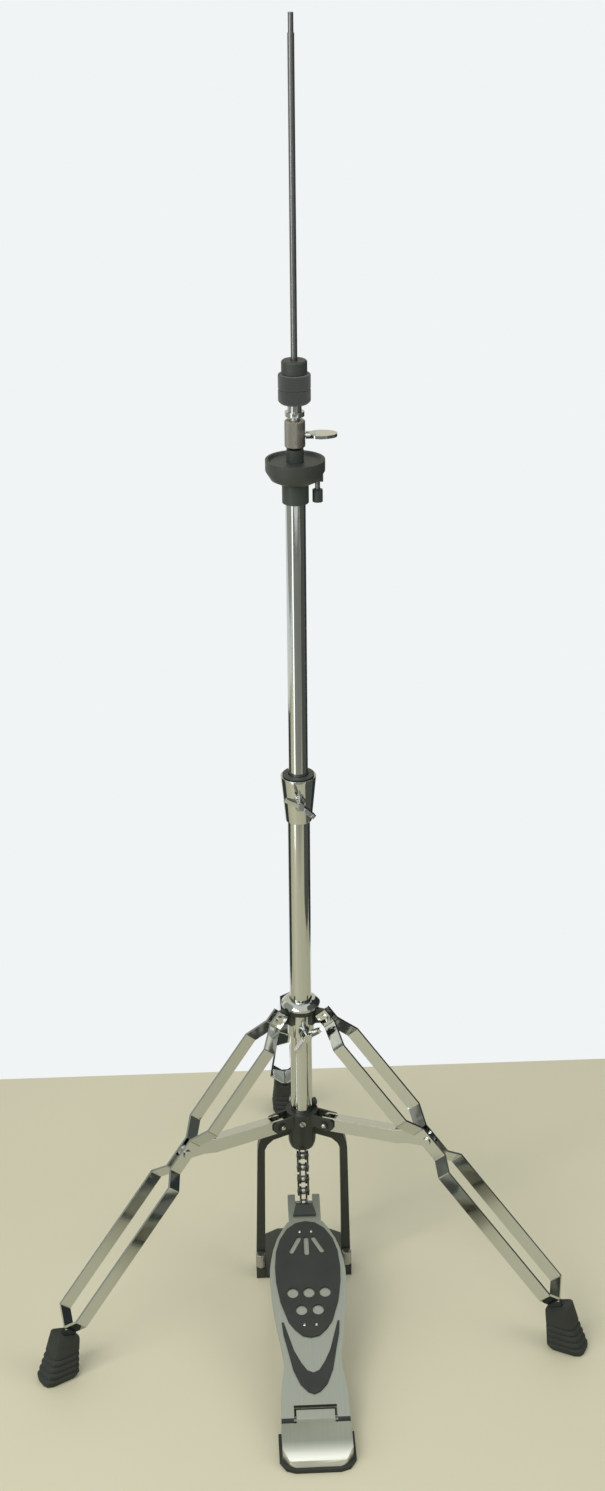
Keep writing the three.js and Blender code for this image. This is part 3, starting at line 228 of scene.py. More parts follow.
def makeFloor():
    shape = bmesh.new()
    bmesh.ops.create_grid(shape, x_segments=1, y_segments=1, size=1)
    depth = studio["floorBack"] - studio["floorFront"]
    middle = (studio["floorBack"] + studio["floorFront"]) / 2
    size = Matrix.Diagonal((studio["floorHalfWidth"], depth / 2, 1, 1))
    moved(shape, Matrix.Translation((0, middle, 0)) @ size)
    mesh = bpy.data.meshes.new("floor")
    shape.to_mesh(mesh)
    shape.free()
    finish, tree, place = startFinish("honed_stone_floor")
    cloud = addNode(tree, "ShaderNodeTexNoise", {"Vector": place, "Scale": studio["cloudsPerMetre"],
                                                 "Detail": 4.0})
    least, most = studio["cloudTone"]
    tone = addNode(tree, "ShaderNodeMapRange", {"Value": cloud.outputs[0], "To Min": least, "To Max": most})
    pale = addNode(tree, "ShaderNodeVectorMath", {0: linearColour(studio["floorColour"])[:3],
                                                  3: tone.outputs[0]}, operation="SCALE")
    across = addNode(tree, "ShaderNodeSeparateXYZ", {0: place})
    # painted shade: towards the front the floor darkens for glossy rays only, a shade that only the metal
    # mirrors
    paintedShadeRamp = addNode(tree, "ShaderNodeMapRange", {"Value": across.outputs["Y"], "From Min": studio["paintedShadeFrom"],
                                               "From Max": studio["paintedShadeTo"]})
    path = addNode(tree, "ShaderNodeLightPath")
    share = addNode(tree, "ShaderNodeMath", {0: paintedShadeRamp.outputs[0], 1: path.outputs["Is Glossy Ray"]},
                    operation="MULTIPLY")
    colour = addNode(tree, "ShaderNodeMixRGB", {0: share.outputs[0], 1: pale.outputs[0],
                                                2: linearColour(studio["paintedShadeColour"])})
    endFinish(tree, {"Base Color": colour.outputs[0], "Roughness": studio["floorRoughness"]})
    mesh.materials.append(finish)
    floor = bpy.data.objects.new("floor", mesh)
    scene.collection.objects.link(floor)


def makeRoom():
    world = bpy.data.worlds.new("room")
    scene.world = world
    world.use_nodes = True
    tree = world.node_tree
    tree.nodes.clear()
    path = addNode(tree, "ShaderNodeLightPath")
    seen = addNode(tree, "ShaderNodeMath", {0: path.outputs["Is Camera Ray"],
                                            1: path.outputs["Is Glossy Ray"]}, operation="MAXIMUM")
    shown = addNode(tree, "ShaderNodeMath", {0: seen.outputs[0], 1: path.outputs["Is Transmission Ray"]},
                    operation="MAXIMUM")
    colour = linearColour(studio["roomColour"])
    light = addNode(tree, "ShaderNodeBackground", {"Color": colour, "Strength": studio["roomLight"]})
    white = addNode(tree, "ShaderNodeBackground", {"Color": colour, "Strength": 1.0})
    both = addNode(tree, "ShaderNodeMixShader", {0: shown.outputs[0], 1: light.outputs[0],
                                                 2: white.outputs[0]})
    addNode(tree, "ShaderNodeOutputWorld", {"Surface": both.outputs[0]})


def makeCard(name, place, width, height, colour, strength):
    # a glowing sheet centred on the place, its face turned to the pole, which only metal mirrors: a painted
    # reflection
    shape = bmesh.new()
    bmesh.ops.create_grid(shape, x_segments=1, y_segments=1, size=1)
    middle = Vector(place)
    inward = Vector((0, 0, place[2])) - middle if middle.xy.length else -middle
    turn = inward.to_track_quat("Z", "Y").to_matrix().to_4x4()
    size = Matrix.Diagonal((width / 2, height / 2, 1, 1))
    moved(shape, Matrix.Translation(middle) @ turn @ size)
    mesh = bpy.data.meshes.new(name)
    shape.to_mesh(mesh)
    shape.free()
    finish, tree, _ = startFinish(name + "_painted_reflection")
    glow = addNode(tree, "ShaderNodeEmission", {"Color": linearColour(colour), "Strength": float(strength)})
    addNode(tree, "ShaderNodeOutputMaterial", {"Surface": glow.outputs[0]})
    mesh.materials.append(finish)
    card = bpy.data.objects.new(name, mesh)
    card.visible_camera = False
    card.visible_diffuse = False
    card.visible_transmission = False
    card.visible_shadow = False
    scene.collection.objects.link(card)


def makeCards():
    for name, (bearing, distance, width, low, high, colour, strength) in cards.items():
        angle = math.radians(bearing)
        place = (distance * math.cos(angle), distance * math.sin(angle), (low + high) / 2)
        makeCard(name, place, width, high - low, colour, strength)
    side = 2 * ceilingCard["half"]
    makeCard("ceiling", (0, 0, ceilingCard["height"]), side, side, ceilingCard["colour"], 1)


def makeLamp(name, place, width, height, power):
    data = bpy.data.lights.new(name, "AREA")
    data.shape = "RECTANGLE"
    data.size = width
    data.size_y = height
    data.energy = power
    lamp = bpy.data.objects.new(name, data)
    lamp.location = place
    lamp.rotation_euler = (Vector(studio["lampTarget"]) - Vector(place)).to_track_quat("-Z", "Y").to_euler()
    scene.collection.objects.link(lamp)


makeFloor()
makeRoom()
makeCards()
for name, (place, width, height, power) in lamps.items():
    makeLamp(name, place, width, height, power)
print("stage: camera, floor and lamps made")


# Finishes

chromeLook = {"colour": "#c8cac6", "least": 0.05, "most": 0.13, "smearSize": 34, "smearFrom": 0.35,
              "smearTo": 0.75, "waveSize": 22, "wave": 0.05}


def mirrorChrome():
    # chromium plate on polished steel: a sharp mirror, broken by faint smears and by the slow waves
    # of rolled steel
    finish, tree, place = startFinish("chromium_plated_steel")
    smear = addNode(tree, "ShaderNodeTexNoise", {"Vector": place, "Scale": 1 / (chromeLook["smearSize"] * mm),
                                                 "Detail": 4.0, "Roughness": 0.65})
    gloss = addNode(tree, "ShaderNodeMapRange", {
        "Value": smear.outputs[0], "From Min": chromeLook["smearFrom"], "From Max": chromeLook["smearTo"],
        "To Min": chromeLook["least"], "To Max": chromeLook["most"]})
    wave = addNode(tree, "ShaderNodeTexNoise", {"Vector": place, "Scale": 1 / (chromeLook["waveSize"] * mm),
                                                "Detail": 1.0})
    bump = addNode(tree, "ShaderNodeBump", {"Height": wave.outputs[0], "Strength": 0.6,
                                            "Distance": chromeLook["wave"] * mm})
    endFinish(tree, {"Base Color": linearColour(chromeLook["colour"]), "Metallic": 1.0,
                     "Roughness": gloss.outputs[0], "Normal": bump.outputs[0]})
    return finish


steelLook = {"colour": "#9b9d9c", "dull": "#6f7170", "roughness": 0.3, "acrossScale": 120, "ringWidth": 0.4,
             "groove": 0.02}


def groundSteel():
    # turned and ground steel bar: fine rings round the bar and a soft, darker shine
    finish, tree, place = startFinish("ground_steel_bar")
    across = steelLook["acrossScale"]
    stretch = addNode(tree, "ShaderNodeMapping", {"Vector": place, "Scale": (
        across, across, 1 / (steelLook["ringWidth"] * mm))})
    rings = addNode(tree, "ShaderNodeTexNoise", {"Vector": stretch.outputs[0], "Scale": 1.0, "Detail": 2.0})
    colour = addNode(tree, "ShaderNodeMixRGB", {0: rings.outputs[0], 1: linearColour(steelLook["colour"]),
                                                2: linearColour(steelLook["dull"])})
    bump = addNode(tree, "ShaderNodeBump", {"Height": rings.outputs[0], "Strength": 0.3,
                                            "Distance": steelLook["groove"] * mm})
    endFinish(tree, {"Base Color": colour.outputs[0], "Metallic": 1.0, "Roughness": steelLook["roughness"],
                     "Normal": bump.outputs[0]})
    return finish


brightLook = {"colour": "#c9c8c4", "dull": "#9a9996", "least": 0.22, "most": 0.4, "cloudSize": 1.2}


def brightZinc():
    # zinc-plated turned steel: a bright, slightly cloudy shine
    finish, tree, place = startFinish("zinc_plated_steel")
    cloud = addNode(tree, "ShaderNodeTexNoise", {"Vector": place, "Scale": 1 / (brightLook["cloudSize"] * mm),
                                                 "Detail": 3.0})
    colour = addNode(tree, "ShaderNodeMixRGB", {0: cloud.outputs[0], 1: linearColour(brightLook["colour"]),
                                                2: linearColour(brightLook["dull"])})
    gloss = addNode(tree, "ShaderNodeMapRange", {"Value": cloud.outputs[0],
                                                 "To Min": brightLook["least"], "To Max": brightLook["most"]})
    endFinish(tree, {"Base Color": colour.outputs[0], "Metallic": 1.0, "Roughness": gloss.outputs[0]})
    return finish


chainLook = {"colour": "#3b3d3a", "wearAndHighlight": "#5a5c58", "least": 0.22, "most": 0.45, "oilSize": 3}


def bluedSteel():
    # blued and oiled steel of the chain's plates: dark, with a cloudy film of oil
    finish, tree, place = startFinish("blued_chain_steel")
    oil = addNode(tree, "ShaderNodeTexNoise", {"Vector": place, "Scale": 1 / (chainLook["oilSize"] * mm),
                                               "Detail": 3.0})
    colour = addNode(tree, "ShaderNodeMixRGB", {0: oil.outputs[0], 1: linearColour(chainLook["colour"]),
                                                2: linearColour(chainLook["wearAndHighlight"])})
    gloss = addNode(tree, "ShaderNodeMapRange", {"Value": oil.outputs[0],
                                                 "To Min": chainLook["least"], "To Max": chainLook["most"]})
    endFinish(tree, {"Base Color": colour.outputs[0], "Metallic": 1.0, "Roughness": gloss.outputs[0]})
    return finish


nickelLook = {"colour": "#a39f94", "roughness": 0.32, "ridgeCount": 72, "ridge": 0.12}


def knurledNickel():
    # nickel on knurled brass: fine upright ridges round the pole's axis that scatter the light
    finish, tree, place = startFinish("knurled_nickel_plate")
    apart = addNode(tree, "ShaderNodeSeparateXYZ", {0: place})
    angle = addNode(tree, "ShaderNodeMath", {0: apart.outputs["Y"], 1: apart.outputs["X"]},
                    operation="ARCTAN2")
    turns = addNode(tree, "ShaderNodeMath", {0: angle.outputs[0], 1: float(nickelLook["ridgeCount"])},
                    operation="MULTIPLY")
    ridge = addNode(tree, "ShaderNodeMath", {0: turns.outputs[0]}, operation="SINE")
    bump = addNode(tree, "ShaderNodeBump", {"Height": ridge.outputs[0], "Strength": 0.7,
                                            "Distance": nickelLook["ridge"] * mm})
    endFinish(tree, {"Base Color": linearColour(nickelLook["colour"]), "Metallic": 1.0,
                     "Roughness": nickelLook["roughness"], "Normal": bump.outputs[0]})
    return finish


paintLook = {"colour": "#20241f", "wearAndHighlight": "#31362e", "least": 0.3, "most": 0.48, "patchSize": 25,
             "peelSize": 1.1, "peel": 0.05}


def bakedBlackPaint():
    # baked black enamel over a casting: half gloss, with a fine orange peel and slightly paler patches
    finish, tree, place = startFinish("baked_black_enamel")
    peel = addNode(tree, "ShaderNodeTexNoise", {"Vector": place, "Scale": 1 / (paintLook["peelSize"] * mm),
                                                "Detail": 2.0})
    patch = addNode(tree, "ShaderNodeTexNoise", {"Vector": place, "Scale": 1 / (paintLook["patchSize"] * mm),
                                                 "Detail": 4.0})
    colour = addNode(tree, "ShaderNodeMixRGB", {0: patch.outputs[0], 1: linearColour(paintLook["colour"]),
                                                2: linearColour(paintLook["wearAndHighlight"])})
    gloss = addNode(tree, "ShaderNodeMapRange", {"Value": patch.outputs[0],
                                                 "To Min": paintLook["least"], "To Max": paintLook["most"]})
    bump = addNode(tree, "ShaderNodeBump", {"Height": peel.outputs[0], "Strength": 0.5,
                                            "Distance": paintLook["peel"] * mm})
    endFinish(tree, {"Base Color": colour.outputs[0], "Roughness": gloss.outputs[0],
                     "Normal": bump.outputs[0]})
    return finish


plasticLook = {"colour": "#333a34", "least": 0.42, "most": 0.58, "grainSize": 0.6, "grain": 0.03}


def mouldedBlackNylon():
    # glass-filled nylon from a spark-eroded mould: matt black with a fine even grain
    finish, tree, place = startFinish("moulded_black_nylon")
    grain = addNode(tree, "ShaderNodeTexNoise", {
        "Vector": place, "Scale": 1 / (plasticLook["grainSize"] * mm), "Detail": 3.0})
    gloss = addNode(tree, "ShaderNodeMapRange", {"Value": grain.outputs[0],
                                                 "To Min": plasticLook["least"],
                                                 "To Max": plasticLook["most"]})
    bump = addNode(tree, "ShaderNodeBump", {"Height": grain.outputs[0], "Strength": 0.6,
                                            "Distance": plasticLook["grain"] * mm})
    endFinish(tree, {"Base Color": linearColour(plasticLook["colour"]), "Roughness": gloss.outputs[0],
                     "Normal": bump.outputs[0]})
    return finish


rubberLook = {"colour": "#1f231e", "dust": "#31352d", "roughness": 0.78, "dustSize": 18, "grainSize": 0.9,
              "grain": 0.08}


def mouldedBlackRubber():
    # vulcanised rubber: deep matt black, a little dusty, with a pebbled skin
    finish, tree, place = startFinish("vulcanised_black_rubber")
    grain = addNode(tree, "ShaderNodeTexNoise", {"Vector": place, "Scale": 1 / (rubberLook["grainSize"] * mm),
                                                 "Detail": 3.0})
    dust = addNode(tree, "ShaderNodeTexNoise", {"Vector": place, "Scale": 1 / (rubberLook["dustSize"] * mm),
                                                "Detail": 5.0})
    colour = addNode(tree, "ShaderNodeMixRGB", {0: dust.outputs[0], 1: linearColour(rubberLook["colour"]),
                                                2: linearColour(rubberLook["dust"])})
    bump = addNode(tree, "ShaderNodeBump", {"Height": grain.outputs[0], "Strength": 0.7,
                                            "Distance": rubberLook["grain"] * mm})
    endFinish(tree, {"Base Color": colour.outputs[0], "Roughness": rubberLook["roughness"],
                     "Normal": bump.outputs[0]})
    return finish


feltLook = {"colour": "#1f2424", "fibre": "#484d48", "fibreSize": 0.7, "pile": 0.35, "sheen": 0.3}


def pressedBlackFelt():
    # pressed wool felt: no shine, short fibres that catch light at grazing angles
    finish, tree, place = startFinish("pressed_black_felt")
    fibre = addNode(tree, "ShaderNodeTexNoise", {"Vector": place, "Scale": 1 / (feltLook["fibreSize"] * mm),
                                                 "Detail": 5.0, "Roughness": 0.75})
    colour = addNode(tree, "ShaderNodeMixRGB", {0: fibre.outputs[0], 1: linearColour(feltLook["colour"]),
                                                2: linearColour(feltLook["fibre"])})
    bump = addNode(tree, "ShaderNodeBump", {"Height": fibre.outputs[0], "Strength": 0.9,
                                            "Distance": feltLook["pile"] * mm})
    endFinish(tree, {"Base Color": colour.outputs[0], "Roughness": 1.0, "Sheen Weight": feltLook["sheen"],
                     "Normal": bump.outputs[0]})
    return finish


# the pale colour at the heel plate's nose is a painted highlight
aluminiumLook = {"colour": "#b8bbb0", "dark": "#9b9f94", "least": 0.3, "most": 0.46, "lineWidth": 0.5,
                 "lineLength": 60, "line": 0.05, "wearAndHighlight": "#e4e4da", "highlightFrom": 21, "highlightTo": 8}


def brushedAluminium():
    # cast aluminium brushed along the pedal and lacquered: long fine lines, soft crosswise highlights
    finish, tree, place = startFinish("brushed_cast_aluminium")
    stretch = addNode(tree, "ShaderNodeMapping", {"Vector": place, "Scale": (
        1 / (aluminiumLook["lineWidth"] * mm), 1 / (aluminiumLook["lineLength"] * mm),
        1 / (aluminiumLook["lineLength"] * mm))})
    lines = addNode(tree, "ShaderNodeTexNoise", {"Vector": stretch.outputs[0], "Scale": 1.0, "Detail": 4.0,
                                                 "Roughness": 0.7})
    colour = addNode(tree, "ShaderNodeMixRGB", {0: lines.outputs[0], 1: linearColour(aluminiumLook["colour"]),
                                                2: linearColour(aluminiumLook["dark"])})
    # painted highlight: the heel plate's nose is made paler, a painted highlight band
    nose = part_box("heel_plate")[0][1]
    along = addNode(tree, "ShaderNodeSeparateXYZ", {0: place})
    paintedHighlight = addNode(tree, "ShaderNodeMapRange", {"Value": along.outputs["Y"],
                                                "From Min": nose + aluminiumLook["highlightFrom"] * mm,
                                                "From Max": nose + aluminiumLook["highlightTo"] * mm})
    colour = addNode(tree, "ShaderNodeMixRGB", {0: paintedHighlight.outputs[0], 1: colour.outputs[0],
                                                2: linearColour(aluminiumLook["wearAndHighlight"])})
    gloss = addNode(tree, "ShaderNodeMapRange", {"Value": lines.outputs[0],
                                                 "To Min": aluminiumLook["least"],
                                                 "To Max": aluminiumLook["most"]})
    bump = addNode(tree, "ShaderNodeBump", {"Height": lines.outputs[0], "Strength": 0.5,
                                            "Distance": aluminiumLook["line"] * mm})
    endFinish(tree, {"Base Color": colour.outputs[0], "Metallic": 1.0, "Roughness": gloss.outputs[0],
                     "Normal": bump.outputs[0]})
    return finish


chrome = mirrorChrome()
steel = groundSteel()
chainPlate = bluedSteel()
brightSteel = brightZinc()
nickel = knurledNickel()
enamel = bakedBlackPaint()
nylon = mouldedBlackNylon()
rubber = mouldedBlackRubber()
felt = pressedBlackFelt()
aluminium = brushedAluminium()
slotFinish = {"chrome": chrome, "dark_steel": steel, "spring_steel": steel, "satin_nickel": nickel,
              "black_paint": enamel, "black_plastic": nylon, "black_rubber": rubber, "black_felt": felt,
              "brushed_aluminium": aluminium}
print("stage: finishes made")


# CAD nodes that keep their shape get rounded edges

edgeRounding = {          # millimetres; a node that isn't named here takes the plain value
    "plain": 0.35,
    "pedal_frame": 1.2,
    "height_wing_bolt": 1.6,
    "collar_wing_bolt": 1.6,
    "clutch_wing_bolt": 1.5,
    "clutch_felt_1": 1.4,
    "clutch_felt_2": 1.4,
    "seat_cup": 0.8,
    "height_clamp": 0.5,
    "footboard": 0.7,
    "heel_plate": 0.9,
    "foot_1": 0.3,
    "foot_2": 0.3,
    "foot_3": 0.3,
}
stripBend = {"radius": 3, "segments": 3, "least": 18, "most": 60}
flatAngle = 0.5           # degrees; faces that meet at less than this are one face


def softEdged(node):
    source = frame["nodes"][node]
    shape = bmesh.new()
    shape.from_mesh(source.data)
    bmesh.ops.remove_doubles(shape, verts=shape.verts, dist=weldReach)
    bmesh.ops.dissolve_limit(shape, angle_limit=math.radians(flatAngle), verts=shape.verts,
                             edges=shape.edges)
    if "_strip_" in node:
        rounded(shape, stripBend["radius"] * mm, stripBend["segments"], stripBend["least"],
                stripBend["most"])
    rounded(shape, edgeRounding.get(node, edgeRounding["plain"]) * mm)
    makePiece(node + "_piece", shape, slotFinish[slotOf[node]], source["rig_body"], slotOf[node], node)


# Small parts built afresh

joint = {row["name"]: row for row in frame["record"]["behaviour"]["joints"]}


def standing(place, axis):
    # a frame whose Z runs along the axis
    return Matrix.Translation(place) @ Vector(axis).to_track_quat("Z", "Y").to_matrix().to_4x4()


def nodeMiddle(node):
    low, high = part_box(node)
    return (Vector(low) + Vector(high)) / 2


def turnedProfile(profile, sides):
    # a closed solid of revolution round Z, from (radius, height) pairs in millimetres that start and
    # end on the axis
    shape = bmesh.new()
    corners = [shape.verts.new((radius * mm, 0, height * mm)) for radius, height in profile]
    edges = [shape.edges.new(pair) for pair in zip(corners, corners[1:])]
    bmesh.ops.spin(shape, geom=corners + edges, axis=(0, 0, 1), cent=(0, 0, 0), angle=2 * math.pi,
                   steps=sides, use_merge=True)
    bmesh.ops.remove_doubles(shape, verts=shape.verts, dist=weldReach)
    bmesh.ops.recalc_face_normals(shape, faces=shape.faces)
    return shape


def flutedBar(radius, bottom, top, flutes, depth, edge):
    # a bar along Z with flutes round it, closed at both ends, in millimetres
    shape = bmesh.new()
    ring = bmesh.ops.create_circle(shape, cap_ends=True, radius=radius * mm, segments=flutes * 4)["verts"]
    for i, corner in enumerate(ring):
        corner.co *= 1 - depth / radius * (0.5 - 0.5 * math.cos(i * math.pi / 2))
    raised(shape, shape.faces[:], (0, 0, (top - bottom) * mm))
    bmesh.ops.recalc_face_normals(shape, faces=shape.faces)
    roundedSquare(shape, edge)
    return moved(shape, Matrix.Translation((0, 0, bottom * mm)))


rivetSize = {"radius": 2.7, "height": 1.3, "root": 0.4, "sides": 20, "share": (0, 0.38, 0.71, 0.92, 1)}


def makeRivet(name, place, axis, body, size=1.0):
    # a domed rivet end: steps of a quarter circle
    radius, height = rivetSize["radius"] * size, rivetSize["height"] * size
    dome = [(radius * share, height * math.sqrt(1 - share * share)) for share in rivetSize["share"]]
    root = -rivetSize["root"]
    shape = turnedProfile(dome + [(radius, root), (0, root)], rivetSize["sides"])
    makePiece(name, moved(shape, standing(place, axis)), chrome, body, "chrome")


bracket = {"pinFace": 10.05}     # from the middle of a brace to the face of its pin's head


def makeBraceRivets():
    for number, name in ((1, "leg_fold"), (2, "brace_2_fold"), (3, "brace_3_fold")):
        pivot = Vector(joint[name]["pos_m"])
        along = Vector(joint[name]["axis"]).normalized()
        for way, side in ((1, "a"), (-1, "b")):
            outward = along * way
            place = pivot + outward * bracket["pinFace"] * mm
            makeRivet(f"brace_rivet_{number}_{side}", place, outward, "frame")


studs = {"across": 6.1, "along": (100.5, 208.7), "rise": 6.3, "size": 0.66}


def boardFrame():
    # the footboard's own frame: the hinge's place, turned up by the board's rise
    hinge = Vector(joint["pedal_press"]["pos_m"])
    toe = nodeMiddle("toe_pin")
    rise = math.atan2(toe.z - hinge.z, toe.y - hinge.y)
    return Matrix.Translation(hinge) @ Matrix.Rotation(rise, 4, "X")


def makeStuds():
    place = boardFrame()
    up = place.to_3x3() @ Vector((0, 0, 1))
    for i, along in enumerate(studs["along"]):
        for way, side in ((-1, "left"), (1, "right")):
            spot = place @ (Vector((way * studs["across"], along, studs["rise"])) * mm)
            makeRivet(f"pad_stud_{i + 1}_{side}", spot, up, "pedal", studs["size"])


tiltScrew = {"shank": 2.5, "root": 2.05, "pitch": 1.0, "sides": 24, "overlap": 0.5, "knob": 5.0,
             "knobHeight": 12, "knobEdge": 0.5, "flutes": 10, "flute": 0.6}


def makeTiltScrew():
    # threaded steel shank, drawn as stacked ridges, and a fluted knob under it
    low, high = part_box("tilt_screw")
    middle = ((low[0] + high[0]) / 2, (low[1] + high[1]) / 2, low[2])
    total = (high[2] - low[2]) / mm
    start = tiltScrew["knobHeight"] - tiltScrew["overlap"]
    profile = [(0, start)]
    for i in range(int((total - start) / tiltScrew["pitch"])):
        height = start + i * tiltScrew["pitch"]
        profile += [(tiltScrew["root"], height), (tiltScrew["shank"], height + tiltScrew["pitch"] / 2)]
    profile += [(tiltScrew["root"], total), (0, total)]
    place = Matrix.Translation(middle)
    shank = moved(turnedProfile(profile, tiltScrew["sides"]), place)
    makePiece("tilt_screw_thread", shank, steel, "tilt_screw", slotOf["tilt_screw"], "tilt_screw")
    knob = flutedBar(tiltScrew["knob"], 0, tiltScrew["knobHeight"], tiltScrew["flutes"], tiltScrew["flute"],
                     tiltScrew["knobEdge"])
    makePiece("tilt_screw_knob", moved(knob, place), nylon, "tilt_screw", slotOf["tilt_screw"], "tilt_screw")


spur = {"shank": 2.8, "tip": 3, "sides": 24, "overlap": 1, "head": 5.2, "headHeight": 16.5, "headEdge": 0.7,
        "flutes": 14, "flute": 0.45}


def makeSpur(node):
    # pointed screw with a fluted head
    low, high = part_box(node)
    middle = ((low[0] + high[0]) / 2, (low[1] + high[1]) / 2, low[2])
    neck = (high[2] - low[2]) / mm - spur["headHeight"]
    place = Matrix.Translation(middle)
    reach = neck + spur["overlap"]
    profile = [(0, 0), (spur["shank"], spur["tip"]), (spur["shank"], reach), (0, reach)]
    body = frame["nodes"][node]["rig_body"]
    point = moved(turnedProfile(profile, spur["sides"]), place)
    makePiece(node + "_point", point, steel, body, slotOf[node], node)
    head = flutedBar(spur["head"], neck, neck + spur["headHeight"], spur["flutes"], spur["flute"],
                     spur["headEdge"])
    makePiece(node + "_head", moved(head, place), brightSteel, body, slotOf[node], node)


hubScrew = {"radius": 3.3, "height": 1.8, "slot": 0.55, "slotDepth": 0.9, "turn": 35, "sides": 32,
            "edge": 0.25, "cutReach": 0.0001, "levelReach": 0.01}


def makeHubScrew():
    # a slotted cheese head: a disc cut in three bands, of which the outer two stand higher
    low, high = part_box("hub_screw")
    place = Vector(((low[0] + high[0]) / 2, low[1] + hubScrew["height"] * mm, (low[2] + high[2]) / 2))
    shape = bmesh.new()
    bmesh.ops.create_circle(shape, cap_ends=True, radius=hubScrew["radius"] * mm, segments=hubScrew["sides"])
    for way in (-1, 1):
        bmesh.ops.bisect_plane(shape, geom=shape.verts[:] + shape.edges[:] + shape.faces[:],
                               dist=hubScrew["cutReach"] * mm,
                               plane_co=(way * hubScrew["slot"] * mm, 0, 0), plane_no=(1, 0, 0))
    for depth, narrow in ((hubScrew["height"] - hubScrew["slotDepth"], False), (hubScrew["slotDepth"], True)):
        top = max(face.calc_center_median().z for face in shape.faces)
        faces = [f for f in shape.faces if abs(f.normal.z) > 0.9
                 and f.calc_center_median().z > top - hubScrew["levelReach"] * mm
                 and (not narrow or abs(f.calc_center_median().x) > hubScrew["slot"] * mm)]
        raised(shape, faces, (0, 0, depth * mm))
    bmesh.ops.recalc_face_normals(shape, faces=shape.faces)
    roundedSquare(shape, hubScrew["edge"])
    turn = Matrix.Rotation(math.radians(hubScrew["turn"]), 4, "Z")
    moved(shape, standing(place, (0, -1, 0)) @ turn)
    makePiece("hub_screw_head", shape, chrome, "frame", slotOf["hub_screw"], "hub_screw")


chainPart = {"links": 5, "plate": 1.8, "plateEdge": 0.3, "innerHalf": 2.2, "gap": 0.3, "end": 5.1,
             "endSteps": 6, "waist": 3.5, "waistSteps": 8, "roller": 3.9, "rollerEdge": 0.35, "pin": 1.9,
             "pinReach": 0.5, "sides": 24}


def plateOutline(pitch):
    # half of a chain plate's waisted outline, as (across, along) from its upper end down, in millimetres
    points = []
    for step in range(chainPart["endSteps"] + 1):
        angle = math.pi / 2 * step / chainPart["endSteps"]
        points.append((chainPart["end"] * math.sin(angle), chainPart["end"] * math.cos(angle)))
    dip = chainPart["end"] - chainPart["waist"]
    for step in range(1, chainPart["waistSteps"]):
        share = step / chainPart["waistSteps"]
        points.append((chainPart["end"] - dip * math.sin(math.pi * share) ** 2, -pitch * share))
    upper = points[chainPart["endSteps"]::-1]
    return points + [(across, -pitch - along) for across, along in upper]


def makeChainLink(number, place, pitch):
    node = f"chain_link_{number}"
    inner = number % 2 == 1
    start = chainPart["innerHalf"] + (0 if inner else chainPart["plate"] + chainPart["gap"])
    half = plateOutline(pitch)
    around = half + [(-across, along) for across, along in half[-2:0:-1]]
    shape = bmesh.new()
    for way in (-1, 1):
        corners = [shape.verts.new((way * start * mm, across * mm, along * mm)) for across, along in around]
        raised(shape, [shape.faces.new(corners)], (way * chainPart["plate"] * mm, 0, 0))
    bmesh.ops.recalc_face_normals(shape, faces=shape.faces)
    roundedSquare(shape, chainPart["plateEdge"])
    down = place @ Matrix.Translation((0, 0, -(number - 1) * pitch * mm))
    body = frame["nodes"][node]["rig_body"]
    makePiece(node + "_plates", moved(shape, down), chainPlate, body, slotOf[node], node)
    edge = chainPart["rollerEdge"]
    if inner:
        radius, reach = chainPart["roller"], start - edge / 2
    else:
        radius, reach = chainPart["pin"], start + chainPart["plate"] + chainPart["pinReach"]
    bar = [(0, -reach), (radius - edge, -reach), (radius, edge - reach), (radius, reach - edge),
           (radius - edge, reach), (0, reach)]
    for step, end in ((0, "upper"), (1, "lower")):
        turned = down @ Matrix.Translation((0, 0, -step * pitch * mm)) @ Matrix.Rotation(math.pi / 2, 4, "Y")
        roll = moved(turnedProfile(bar, chainPart["sides"]), turned)
        makePiece(f"{node}_{end}_bar", roll, brightSteel if inner else steel, body, slotOf[node], node)


def makeChain():
    top = Vector(joint["chain_swing"]["pos_m"])
    reach = nodeMiddle("toe_pin") - top
    place = Matrix.Translation(top) @ Matrix.Rotation(math.atan2(reach.y, -reach.z), 4, "X")
    for number in range(1, chainPart["links"] + 1):
        makeChainLink(number, place, reach.length / chainPart["links"] / mm)


tongueGapShade = {"halfWidth": 21, "start": 5.4, "end": 13.6, "top": -0.9, "thickness": 1.2, "edge": 0.4}


def makeTongueGapShade():
    # painted shade: a black strip in the rubber finish under the footboard that closes the gap round the
    # heel's tongue, standing in for the shade in that gap
    shape = bmesh.new()
    bmesh.ops.create_grid(shape, x_segments=1, y_segments=1, size=1)
    raised(shape, shape.faces[:], (0, 0, 1))
    bmesh.ops.recalc_face_normals(shape, faces=shape.faces)
    length = tongueGapShade["end"] - tongueGapShade["start"]
    low = Vector((0, tongueGapShade["start"] + length / 2, tongueGapShade["top"] - tongueGapShade["thickness"])) * mm
    size = Matrix.Diagonal((tongueGapShade["halfWidth"] * mm, length / 2 * mm, tongueGapShade["thickness"] * mm, 1))
    moved(shape, Matrix.Translation(low) @ size)
    roundedSquare(shape, tongueGapShade["edge"])
    makePiece("tongue_gap_shade", moved(shape, boardFrame()), rubber, "pedal", "black_rubber")


hingeSeamShade = {"inner": 21.6, "outer": 34, "radius": 4.8, "thickness": 0.25, "start": 15, "end": 110,
             "steps": 10, "edge": 6.9, "low": 1.2, "top": 3.4, "front": 4.9}


